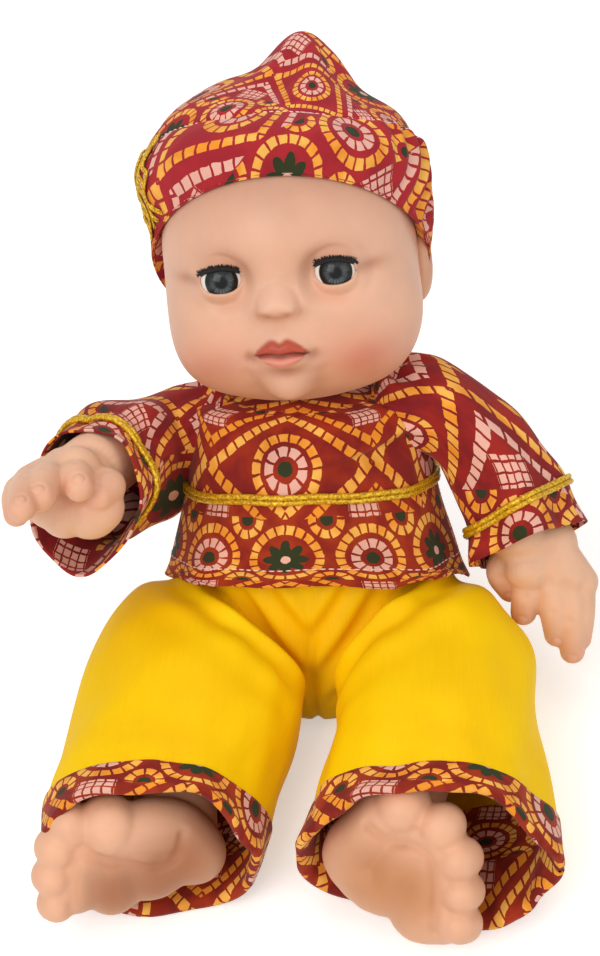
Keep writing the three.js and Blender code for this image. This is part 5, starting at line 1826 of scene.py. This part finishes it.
@dataclass
class Leg:
    """A soft vinyl leg with a turned-up foot."""

    side: Side
    ankle_reach: float = 104.0
    sole_depth: float = 12.5

    @property
    def splay(self) -> float:
        """How far the leg swings out, in degrees."""
        return POSTURE.left_leg_splay if self.side is Side.LEFT else POSTURE.right_leg_splay

    def out(self, points: Array) -> Array:
        """Points of a left leg on this leg's side, in the doll's frame."""
        return POSTURE.leg(self.side).out(points * self.side.mirror)

    def sway(self, x: float, y: float, z: float) -> Array:
        """A point of the leg, swung out with its distance from the hip."""
        place = spot(x, y, z)
        return place + (turned("Z", self.splay) @ place - place) * min(1.0, -y / 60.0)

    def foot(self, reach: float, across: float, out: float = 0.0) -> Array:
        """A point of the foot: along it from the heel, across it and out of its sole.

        Args:
            reach: How far along.
            across: How far across.
            out: How far out.

        Returns:
            The point, on a left leg.
        """
        heel = self.sway(19.0, -self.ankle_reach - 20.0, 1.0)
        along = unit(spot(0.93, -0.36, -0.05))
        broad = spot(0.0, 0.5, 0.86)
        broad = unit(broad - along * (broad @ along))
        return heel + along * reach + broad * across + np.cross(along, broad) * out

    def shape(self, plan: FootPlan) -> BMesh:
        """The leg and foot as a heap of balls.

        Args:
            plan: Where the foot's pads lie.

        Returns:
            The balls, in metres.
        """
        bm = bmesh.new()
        r = self.ankle_reach
        swung = ((30, -0.36 * r, 5), (32, -0.6 * r, 5), (28, -0.8 * r, 3), (24, -r, 0), (21, -r - 12, -2))
        line = np.array([(2.0, -1.0, 0.0), (18.0, -14.0, 3.0), *(self.sway(*place) for place in swung)])
        string_balls(bm, self.out(line), (17.0, 18.5, 19.5, 18.5, 17.0, 15.0, 13.5))
        tops = np.array([self.foot(x, y, self.sole_depth + rise - r) for x, y, r, rise in plan.pads])
        deeps = np.array([self.foot(0.4 * x, 0.3 * y, -6) for x, y, _, _ in plan.pads])
        radii = [pad[2] for pad in plan.pads]
        for top, deep, radius in zip(tops, deeps, radii):
            string_balls(bm, self.out(np.array([top, deep])), (radius, 11.0))
        for sunk in (0.0, 0.45, 0.8):
            string_balls(bm, self.out(tops * (1.0 - sunk) + deeps * sunk), radii)
        for reach, across, radius, rise in plan.toes:
            root = np.array((reach, across)) + 0.35 * (np.array(plan.middle) - (reach, across))
            stations = [
                self.foot(*root, self.sole_depth - 1.8 - radius),
                self.foot(reach, across, self.sole_depth + rise - 3.0 - radius),
                self.foot(reach, across, self.sole_depth + rise - radius),
            ]
            string_balls(bm, self.out(np.array(stations)), (0.9 * radius, radius, 0.97 * radius))
        return bm

    def build(self) -> Piece:
        """Makes the leg and fastens it."""
        plan = FOOT_PLANS[self.side]
        piece = melt(self.shape(plan), f"{self.side.word}_leg_skin", 0.75, 14)
        mesh = piece.data
        points = coordinates(mesh)
        normals = corner_normals(mesh)
        colour = coat("#E3B292", len(points))
        stations = np.array([self.foot(*place, self.sole_depth - 1.0) for place in plan.crease])
        crease = self.out(through(stations, np.linspace(0.0, 1.0, 60)))
        # Painted shade on the sole and the heel
        for reach, across, share in ((14.0, 1.0, 0.8), (-4.0, -2.0, 0.7)):
            spot_on_sole = (plan.middle[0] + reach, plan.middle[1] + across)
            sole = self.out(self.foot(*spot_on_sole, self.sole_depth))
            colour = blend_colour(colour, plan.sole, share * bell(gap_to(points, sole), 15.0))
        heel = self.out(self.foot(-1.0, 0.0, self.sole_depth - 4.0))
        colour = blend_colour(colour, plan.sole, plan.heel_shade * bell(gap_to(points, heel), 14.0))
        # Painted shade in the crease under the toes
        for place in crease:
            gap = gap_to(points, place)
            colour = blend_colour(colour, "#A4653B", 0.06 * bell(gap, 2.4))
        # Painted light on the toe pads
        for reach, across, radius, rise in plan.toes:
            pad = self.out(self.foot(reach, across, self.sole_depth + rise))
            gap = gap_to(points, pad)
            colour = blend_colour(colour, "#EBB594", 0.9 * bell(gap, 1.15 * radius))
        points = groove(points, normals, crease, 1.8, 1.6)
        paint_corners(mesh, colour)
        move_corners(mesh, points)
        dress(piece, SKIN, [f"{self.side.word}_leg"])
        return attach(piece, f"{self.side.word}_leg")


def clear_of(points: Array, skin: BVHTree, gap: float) -> Array:
    """Points of cloth kept outside a skin.

    Args:
        points: Places in millimetres.
        skin: The faces of the skin, in metres.
        gap: The least distance to it in millimetres.

    Returns:
        The points, with those that lie too close moved out.
    """
    kept = points.copy()
    for row, point in enumerate(points):
        near, normal, _, _ = skin.find_nearest(Vector(point * MM))
        near, normal = np.array(near) / MM, np.array(normal)
        if (point - near) @ normal < gap:
            kept[row] = near + normal * gap
    return kept


# Trousers


@dataclass
class Trousers:
    """Wide satin trousers with printed borders round the feet."""

    leg_width: float = 76.0
    leg_height: float = 67.0
    leg_reach: float = 122.0
    cuff_length: float = 17.0
    facing_length: float = 40.0
    facing_gap: float = 2.2

    def sections(self, side: Side) -> list[Section]:
        """The sections of a trouser leg from the hip to the printed border.

        Args:
            side: The side of the doll.

        Returns:
            The sections in order.
        """
        wide = self.leg_width / 2
        high = self.leg_height / 2
        end = -self.leg_reach
        rest = high + 0.2
        if side is Side.LEFT:
            spread = ((47.0, 36.0), (49.0, 38.0), (48.0, 40.5), (47.5, 42.5))
        else:
            spread = ((44.0, 40.5), (46.5, 42.5), (50.0, 41.3), (51.8, 41.2))
        root = spot(*POSTURE.hip_spot)
        rows = [
            (root + spot(1.2, -1, 2), (0.97, -0.21, -0.1), high - 10, high - 6),
            (spot(37.0, 0.16 * end, rest - 6.5), (0.75, -0.7, 0), wide - 11, high - 9.5),
        ]
        stations = ((0.4, 0.2, 0.5), (0.7, -0.05, 0.0), (0.88, -0.05, 0.6), (1.0, -0.03, 1.2))
        for (share, lean, low), (middle, half) in zip(stations, spread):
            rows.append((spot(middle, share * end, rest - low), (lean, -1, 0), half, high - low))
        flip = side.mirror
        return [Section(centre * flip, spot(*facing) * flip, w, h) for centre, facing, w, h in rows]

    def cuff_sections(self, side: Side) -> list[Section]:
        """The sections of a printed border.

        Args:
            side: The side of the doll.

        Returns:
            The sections in order.
        """
        first = self.sections(side)[-1]
        facing = unit(first.facing)
        half, shift = (46.0, -2.0) if side is Side.LEFT else (40.5, -1.5)
        end = first.centre + facing * self.cuff_length + spot(shift, 0, -1.0)
        return [
            Section(first.centre - facing * 1.0, facing, first.wide, first.high),
            Section((first.centre + end) / 2, facing, (first.wide + half) / 2, first.high - 0.5),
            Section(end, facing, half, first.high - 1.0),
        ]

    @staticmethod
    def on_floor(points: Array, clear: float = 0.4) -> Array:
        """Points kept above the floor, easing flat as they near it."""
        points[:, 2] = np.where(points[:, 2] < clear, clear + 0.05 * (points[:, 2] - clear), points[:, 2])
        points[:, 2] = np.maximum(points[:, 2], 0.05)
        return points

    @staticmethod
    def softness(points: Array, side: Side) -> tuple[Array, Array]:
        """The cloth's slow and quick unevenness, drawn out along the leg."""
        slow = 2.0 * wander(points * np.array((1.0, 0.6, 1.0)), 46.0, 11 + side.value)
        return slow, 0.9 * wander(points * np.array((1.0, 0.5, 1.0)), 19.0, 15 + side.value)

    def hem_wave(self, angle: Array) -> Array:
        """How far the hem of a leg waves out by the turn round it."""
        return 0.01 * self.leg_width * np.cos(5 * angle + 0.6)

    def leg_place(self, side: Side) -> Place:
        """The cloth of a trouser leg, with folds that run from the skirt to the crotch.

        Args:
            side: The side of the doll.

        Returns:
            The function that places the cloth.
        """
        tube = Tube(self.sections(side), UP)

        def place(around: Array, along: Array) -> Array:
            """A point of the leg's cloth."""
            bare = tube.place(around, along)
            angle = math.tau * around
            inner = 0.5 - 0.5 * side.value * np.cos(angle)
            top = ease(np.sin(angle), -0.2, 0.5)
            slow, quick = self.softness(bare, side)
            soft = slow * ease(along, 0.1, 0.4)
            soft += quick * ease(along, 0.15, 0.4)
            hem = self.hem_wave(angle) * ease(along, 0.6, 1.0)
            phase = along - 0.13 - 0.26 * inner
            drag = 2.6 * np.sin(math.tau * phase / 0.13) * bell(phase, 0.15) * top
            pulled = along - 0.44 + 0.2 * inner
            drag += 1.5 * np.sin(math.tau * pulled / 0.17) * bell(pulled, 0.13) * inner
            return self.on_floor(tube.place(around, along, soft + hem + drag))

        return place

    def cuff_place(self, side: Side) -> Place:
        """The cloth of a printed border, waving at its edge and turned back inside as a facing.

        Args:
            side: The side of the doll.

        Returns:
            The function that places the cloth.
        """
        tube = Tube(self.cuff_sections(side), UP)
        leg = self.leg_place(side)
        leg_tube = Tube(self.sections(side), UP)
        total = 2.0 * self.cuff_length + self.facing_length

        def place(around: Array, along: Array) -> Array:
            """A point of the border's cloth."""
            run = along * total / self.cuff_length
            down = np.clip(1.0 - np.abs(run - 1.0), 0.0, 1.0)
            folded = ease(run, 0.9, 1.15)
            bare = tube.place(around, down)
            angle = math.tau * around
            slow, quick = self.softness(bare, side)
            wave = self.hem_wave(angle)
            edge = down * (1.8 * np.sin(4.0 * angle + side.value) + 1.2 * np.sin(7.0 * angle + 1.0))
            points = tube.place(around, down, slow + quick + wave + edge - self.facing_gap * folded)
            points[:, 1] += down * (7.5 * ease(np.sin(angle), 0.3, 1.0) - 2.0 * np.sin(3.0 * angle + 1.0))
            if side is Side.LEFT:
                points[:, 1] -= 11.0 * down * bell(around - 0.86, 0.1)
            up_leg = 1.0 - np.clip(run - 2.0, 0.0, None) * self.cuff_length / self.leg_reach
            lining = leg(around, up_leg)
            lining += unit(leg_tube.frame(up_leg)[0] - lining) * self.facing_gap
            points += (lining - points) * ease(run, 1.8, 2.2)[:, None]
            return self.on_floor(points)

        return place

    def seat_place(self, around: Array, along: Array) -> Array:
        """The seat between the legs, up under the tunic."""
        wide, deep = 44.6, 36.6
        trunk = POSTURE.trunk
        up = trunk.turn @ UP
        sections = [
            Section(spot(0, -4, -5), UP, wide - 12, deep + 3),
            Section(spot(0, -7.5, 8), UP, wide - 2, deep + 7),
            Section(spot(0, -7, 24), UP, wide, deep + 6),
            Section(trunk.out(spot(0, 0, 6)), up, wide, deep + 2.5),
            Section(trunk.out(spot(0, 0, 46)), up, wide, deep - 1),
        ]
        tube = Tube(sections, BACK)
        bare = tube.place(around, along)
        front = ease(-bare[:, 1], 20.0, 38.0)
        crease = 2.2 * bell(bare[:, 0], 1.6) * front * (1.0 - ease(bare[:, 2], 30.0, 62.0))
        slant = 0.42 * np.abs(bare[:, 0]) - 0.34 * bare[:, 2]
        drape = 1.5 * np.sin(slant) * front * ease(bare[:, 2], 8.0, 26.0)
        soft = 0.9 * wander(bare, 30.0, 21)
        return self.on_floor(tube.place(around, along, soft + drape - crease))

    def build(self) -> None:
        """Makes the trousers' pieces and fastens the seat and the printed borders."""
        worn = (spot(0, -4, 40), SATIN)
        seat = sew("trouser_seat_cloth", (220, 90), self.seat_place, (250.0, 100.0), *worn, ["trouser_seat"])
        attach(seat, "torso")
        for side in Side:
            word = side.word
            node = f"{word}_trouser_leg"
            inside = (spot(50, -70, 34) * side.mirror, SATIN, [node])
            leg = sew(f"{node}_cloth", (180, 130), self.leg_place(side), (220.0, 125.0), *inside)
            hip = spot(*POSTURE.hip_spot) * side.mirror
            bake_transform(leg)
            node = f"{word}_trouser_cuff"
            inside = (spot(50, -130, 34) * side.mirror, CUFF_PRINT, [node])
            cuff = sew(f"{node}_cloth", (200, 72), self.cuff_place(side), (240.0, 74.0), *inside)
            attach(cuff, f"{word}_leg")


# Tunic


@dataclass
class Tunic:
    """The printed tunic: bodice, skirt, sleeves and gold trimming."""

    waist_rise: float = 54.0
    neckline_rise: float = 80.5
    bodice_width: float = 96.0
    bodice_depth: float = 80.0
    hem_rise: float = 8.0
    hem_width: float = 120.0
    hem_depth: float = 96.0
    lace_width: float = 4.0
    sleeve_root: float = 17.0
    sleeve_cuff: float = 23.5
    sleeve_length: float = 62.0
    sleeve_hang: float = 6.0
    waist_dip: float = 8.0
    arm_gap: float = 1.7
    trousers: Trousers = field(default_factory=Trousers)

    def level(self, rise: float, wide: float, deep: float) -> Section:
        """A level section of the trunk's clothes."""
        return Section(spot(0, 0, rise), UP, wide, deep)

    def bodice_place(self, around: Array, along: Array) -> Array:
        """The bodice from the waist to the neckline, with chest folds."""
        wide = self.bodice_width / 2
        deep = self.bodice_depth / 2
        length = self.neckline_rise - self.waist_rise
        rows = ((0.27, 0.5, 1.5), (0.54, 2.5, 6), (0.77, 4, 10), (0.92, 6, 14))
        sections = [
            self.level(self.waist_rise - 3.0, wide, deep),
            *(self.level(self.waist_rise + share * length, wide - x, deep - y) for share, x, y in rows),
            self.level(self.neckline_rise, wide - 20, deep - 18),
        ]
        tube = Tube(sections, BACK)
        bare = tube.place(around, along)
        front = ease(-bare[:, 1], 5.0, 25.0)
        line = bare[:, 2] - 66.0 - 0.16 * bare[:, 0]
        chest = front * ease(bare[:, 0], 2.0, 18.0) * (2.6 * bell(line, 2.4) - 2.2 * bell(line + 4.4, 2.2))
        soft = 1.3 * wander(bare, 30.0, 41)
        points = tube.place(around, along, soft + chest)
        points[:, 2] -= self.side_dip(points) * (1.0 - ease(along, 0.0, 0.7))
        return POSTURE.trunk.out(points)

    def side_dip(self, points: Array) -> Array:
        """How far the waist seam dips towards the sides, where the cloth is drawn down."""
        return self.waist_dip * np.clip(2.0 * points[:, 0] / self.bodice_width, -1.2, 1.2) ** 2

    def skirt_place(self, around: Array, along: Array) -> Array:
        """The skirt from the hem to the waist, lying over the trouser legs."""
        wide = self.bodice_width / 2
        deep = self.bodice_depth / 2
        low = self.waist_rise - self.lace_width
        sections = [
            Section(spot(0, 0, self.hem_rise), spot(0, 0.25, 1), self.hem_width / 2, self.hem_depth / 2),
            Section(
                spot(0, 0, 0.55 * self.hem_rise + 0.45 * low),
                spot(0, 0.08, 1),
                0.275 * self.hem_width + 0.45 * wide,
                0.275 * self.hem_depth + 0.45 * deep,
            ),
            self.level(low + 3.0, wide, deep),
        ]
        tube = Tube(sections, BACK)
        angle = math.tau * around
        pleats = 0.022 * self.hem_width / 2 * np.cos(11 * angle + 0.8) * (1.0 - along) ** 1.3
        bare = tube.place(around, along)
        soft = 1.0 * wander(bare, 32.0, 43) * (1.0 - 0.7 * along)
        points = tube.place(around, along, soft + pleats)
        points[:, 2] -= self.side_dip(points) * (0.35 + 0.65 * along)
        points[:, 2] -= 4.0 * ease(points[:, 0], 15.0, 45.0) * (1.0 - along)
        points = POSTURE.trunk.out(points)
        for side in Side:
            points = Tube(self.trousers.sections(side), UP).push_out(points, 2.0)
        return points

    def facing_place(self, around: Array, along: Array) -> Array:
        """The neck's facing, from the neckline in and up round the neck."""
        wide = self.bodice_width / 2 - 20.0
        deep = self.bodice_depth / 2 - 18.0
        sections = [
            self.level(self.neckline_rise - 0.3, wide + 0.6, deep + 0.6),
            self.level(self.neckline_rise + 1.6, 0.5 * (wide + 14.0), 0.5 * (deep + 14.0)),
            self.level(self.neckline_rise + 2.0, 14.0, 13.8),
        ]
        return POSTURE.trunk.out(Tube(sections, BACK).place(around, along))

    def sleeve_sections(self, side: Side) -> list[Section]:
        """The sections of a sleeve in its arm's frame: tucked in, up on the shoulder, then hung.

        Args:
            side: The side of the doll.

        Returns:
            The sections in order.
        """
        if side is Side.LEFT:
            raised, lifts = POSTURE.left_arm_raise, (2.0, 11.2, 9.0, 2.4)
        else:
            raised, lifts = POSTURE.right_arm_raise, (5.0, 8.0, 0.0, -4.6)
        angle = math.radians(raised)
        up = spot(0, -math.sin(angle), math.cos(angle))
        hang = self.sleeve_hang * math.sin(angle)
        reach = self.sleeve_length
        root = self.sleeve_root
        rows = [
            (spot(-16.0, 0, 0) + up * lifts[0], (1, 0, 0), root - 8.0),
            (spot(-9.0, 0, 0) + up * lifts[1], (1, 0, 0), root - 2.5),
            (spot(-2.0, 0, 0) + up * lifts[2], (1, 0, 0), root + 0.2),
            (spot(0.22 * reach, 0, 0.03 * reach) + up * lifts[3], (1, 0, -0.3), root + 0.6),
            (spot(0.5 * reach, 0.3 * hang - 0.5, -0.24 * reach), (0.8, -0.1, -1), root + 2.0),
            (spot(0.65 * reach, 0.8 * hang - 1, -0.54 * reach), (0.65, -0.35, -1), self.sleeve_cuff - 2),
            (spot(0.73 * reach, hang - 1, -0.78 * reach), (0.55, -0.5, -1), self.sleeve_cuff),
        ]
        flip = side.mirror
        return [Section(centre * flip, spot(*facing) * flip, r, r) for centre, facing, r in rows]

    def sleeve_place(self, side: Side) -> Place:
        """The cloth of a sleeve, hanging off the arm under its own weight.

        Args:
            side: The side of the doll.

        Returns:
            The function that places the cloth.
        """
        tube = Tube(self.sleeve_sections(side), FRONT)
        axes = POSTURE.arm(side)
        skin = bmesh.new()
        skin.from_mesh(bpy.data.objects[f"{side.word}_arm_skin"].data)
        arm = BVHTree.FromBMesh(skin)
        skin.free()
        sag, droop = (30.0, 10.0) if side is Side.RIGHT else (0.0, 0.0)

        def place(around: Array, along: Array) -> Array:
            """A point of the sleeve's cloth."""
            bare = tube.place(around, along)
            angle = math.tau * around
            gathers = 1.8 * np.cos(13.0 * angle) * ease(along, 0.05, 0.16) * (1.0 - ease(along, 0.24, 0.5))
            folds = 0.06 * self.sleeve_cuff * np.cos(5 * angle + 1) * ease(along, 0.3, 1.0)
            soft = 2.0 * wander(bare, 28.0, 51 + side.value) * ease(along, 0.15, 0.4)
            points = axes.out(tube.place(around, along, gathers + folds + soft))
            centre = axes.out(tube.frame(along)[0])
            below = np.clip(centre[:, 2] - points[:, 2], 0.0, None) / self.sleeve_cuff
            points[:, 2] -= below**1.3 * (sag * bell(along - 0.6, 0.2) + droop * ease(along, 0.6, 1.0))
            return clear_of(points, arm, self.arm_gap)

        return place

    def build(self) -> None:
        """Makes the tunic's pieces and fastens all of them but the sleeves' cloth."""
        heart = POSTURE.trunk.out(spot(0, 0, 50))
        chest = (heart, BODICE_PRINT)
        nodes = ["tunic_bodice"]
        bodice = sew("tunic_bodice_cloth", (260, 60), self.bodice_place, (270.0, 36.0), *chest, nodes)
        below = (heart, SKIRT_PRINT)
        skirt = sew("tunic_skirt_cloth", (300, 60), self.skirt_place, (320.0, 44.0), *below, ["tunic_skirt"])
        path, out = ring_of(self.bodice_place, 0.04, 300)
        lace = dress(braid_row("waist_braid", path, out, 1.15, 2), BRAID, ["waist_lace"])
        path, out = ring_of(self.skirt_place, 0.34, 400)
        hem = dress(stitch_row("hem_stitches", path, out, 3.2, 2.4, 0.28), THREAD)
        facing = sew("neck_facing_cloth", (160, 10), self.facing_place, (140.0, 12.0), *chest, [])
        for piece in (bodice, skirt, lace, hem, facing):
            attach(piece, "torso")
        for side in Side:
            self.sleeve(side)

    def sleeve(self, side: Side) -> None:
        """Makes one sleeve with its braid and fastens the braid to the arm.

        Args:
            side: The side of the doll.
        """
        word = side.word
        axes = POSTURE.arm(side)
        place = self.sleeve_place(side)
        heart = axes.out(spot(30, 0, -14) * side.mirror)
        nodes = [f"{word}_sleeve"]
        sleeve = sew(f"{word}_sleeve_cloth", (160, 90), place, (135.0, 78.0), heart, SLEEVE_PRINT, nodes)
        start = axes.out(spot(side.value * 2.0, 0, 0))
        end = axes.out(spot(side.value * 26.0, 0, -8))
        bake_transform(sleeve)
        path, out = ring_of(place, 0.83, 240)
        braid = braid_row(f"{word}_cuff_braid", path, out, 1.1, 2)
        dress(braid, BRAID, [f"{word}_cuff_lace"])
        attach(braid, f"{word}_arm")


# Inner pieces


INNER_FINISHES: dict[str, Finish] = {
    "torso_plastic": SHELL,
    "dark_plastic": DARK,
    "board": BOARD,
    "steel": STEEL,
    "cell_wrap": WRAP,
    "speaker_paper": PAPER,
}


def dress_inner(frame: dict) -> None:
    """Gives the nodes that stay as they are the finish of their slot.

    Args:
        frame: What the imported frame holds.
    """
    slots = {row["node"]: row["material_slot"] for row in frame["record"]["subparts"]}
    for name, node in frame["nodes"].items():
        finish = INNER_FINISHES.get(slots.get(name, ""))
        if finish is not None:
            node.data.materials.clear()
            node.data.materials.append(finish.material())


# Stage


@dataclass
class Studio:
    """A pale floor, soft lamps and a camera at the photograph's angle."""

    azimuth: float = 8.0
    elevation: float = 42.0
    roll: float = 6.5
    distance: float = 700.0
    target: Spot = (0.0, -20.0, 105.0)
    focal_pixels: float = 1892.0
    image_height: float = 956.0
    sensor: float = 36.0
    # Each lamp's name, place in metres, width in metres, watts and tint
    lamps: tuple[tuple[str, Spot, float, float, str], ...] = (
        ("key", (-0.5, -0.9, 1.0), 0.9, 9.2, "#FFF8F2"),
        ("fill", (0.9, -0.6, 0.7), 0.9, 3.4, "#FFF4E8"),
        ("top", (0.0, 0.3, 1.3), 1.0, 4.0, "#FFFFFF"),
    )
    floor_lift: float = 0.42
    sky_light: float = 0.4

    def camera(self) -> None:
        """Makes the camera."""
        data = bpy.data.cameras.new("camera")
        data.sensor_width = self.sensor
        data.lens = self.focal_pixels / self.image_height * self.sensor
        data.clip_start = 0.01
        made = shown("camera", data)
        azimuth, elevation = math.radians(self.azimuth), math.radians(self.elevation)
        back = spot(
            math.sin(azimuth) * math.cos(elevation),
            -math.cos(azimuth) * math.cos(elevation),
            math.sin(elevation),
        )
        level = spot(math.cos(azimuth), math.sin(azimuth), 0.0)
        roll = math.radians(self.roll)
        right = math.cos(roll) * level - math.sin(roll) * np.cross(back, level)
        turn = np.stack([right, np.cross(back, right), back], axis=1)
        place = (spot(*self.target) + self.distance * back) * MM
        made.matrix_world = Matrix.Translation(Vector(place)) @ Matrix(turn.tolist()).to_4x4()
        bpy.context.scene.camera = made

    def lamp(self, name: str, place: Spot, size: float, watts: float, tint: str) -> None:
        """Adds a soft square lamp that points at the doll.

        Args:
            name: The lamp's name.
            place: Where it stands, in metres.
            size: Its width in metres.
            watts: Its power.
            tint: Its colour as hex.
        """
        data = bpy.data.lights.new(name, "AREA")
        data.shape = "SQUARE"
        data.size = size
        data.energy = watts
        data.color = linear(tint)[:3]
        made = shown(name, data)
        made.location = place
        aim = Vector((0.0, -0.03, 0.1)) - Vector(place)
        made.rotation_euler = aim.to_track_quat("-Z", "Y").to_euler()

    def floor(self) -> None:
        """Makes the floor of matt pale paper, which the camera sees white where no shadow falls."""
        bm = bmesh.new()
        bmesh.ops.create_grid(bm, x_segments=1, y_segments=1, size=6.0)
        floor = object_from(bm, "floor")
        made = bpy.data.materials.new("floor_paper")
        tree = blank_tree(made)
        paper = add(tree, "BsdfDiffuse", {"Color": linear("#F4F4F4")})
        strength = self.seen(tree, 0.0, self.floor_lift)
        lift = add(tree, "Emission", {"Color": linear("#FFFFFF"), "Strength": strength})
        output = tree.nodes.new("ShaderNodeOutputMaterial")
        tree.links.new(add(tree, "AddShader", {0: paper, 1: lift}), output.inputs["Surface"])
        floor.data.materials.append(made)

    @staticmethod
    def seen(tree: Tree, lighting: float, shown: float) -> Socket:
        """A strength that is one value for the light it sheds and another where it is seen.

        Args:
            tree: The node tree.
            lighting: The value for light.
            shown: The value where it is seen.

        Returns:
            The strength.
        """
        path = add(tree, "LightPath", {}).node.outputs
        share = path["Is Camera Ray"]
        for ray in ("Is Glossy Ray", "Is Transmission Ray"):
            share = add(tree, "Math", {0: share, 1: path[ray]}, operation="MAXIMUM")
        return add(tree, "MapRange", {0: share, 1: 0.0, 2: 1.0, 3: lighting, 4: shown})

    def build(self) -> None:
        """Makes the stage."""
        self.camera()
        self.floor()
        for lamp in self.lamps:
            self.lamp(*lamp)
        world = bpy.data.worlds.new("world")
        bpy.context.scene.world = world
        tree = blank_tree(world)
        strength = self.seen(tree, self.sky_light, 1.0)
        sky = add(tree, "Background", {"Color": linear("#FFFFFF"), "Strength": strength})
        output = tree.nodes.new("ShaderNodeOutputWorld")
        tree.links.new(sky, output.inputs["Surface"])
        bpy.context.scene.view_settings.view_transform = "Standard"


def main() -> None:
    """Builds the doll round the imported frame."""
    logging.basicConfig(level=logging.INFO, format="%(name)s %(message)s")
    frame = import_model()
    Studio().build()
    dress_inner(frame)
    Head().build()
    Cap().build()
    for side in Side:
        Arm(side).build()
        Leg(side).build()
    Trousers().build()
    Tunic().build()


if __name__ == "__main__":
    main()
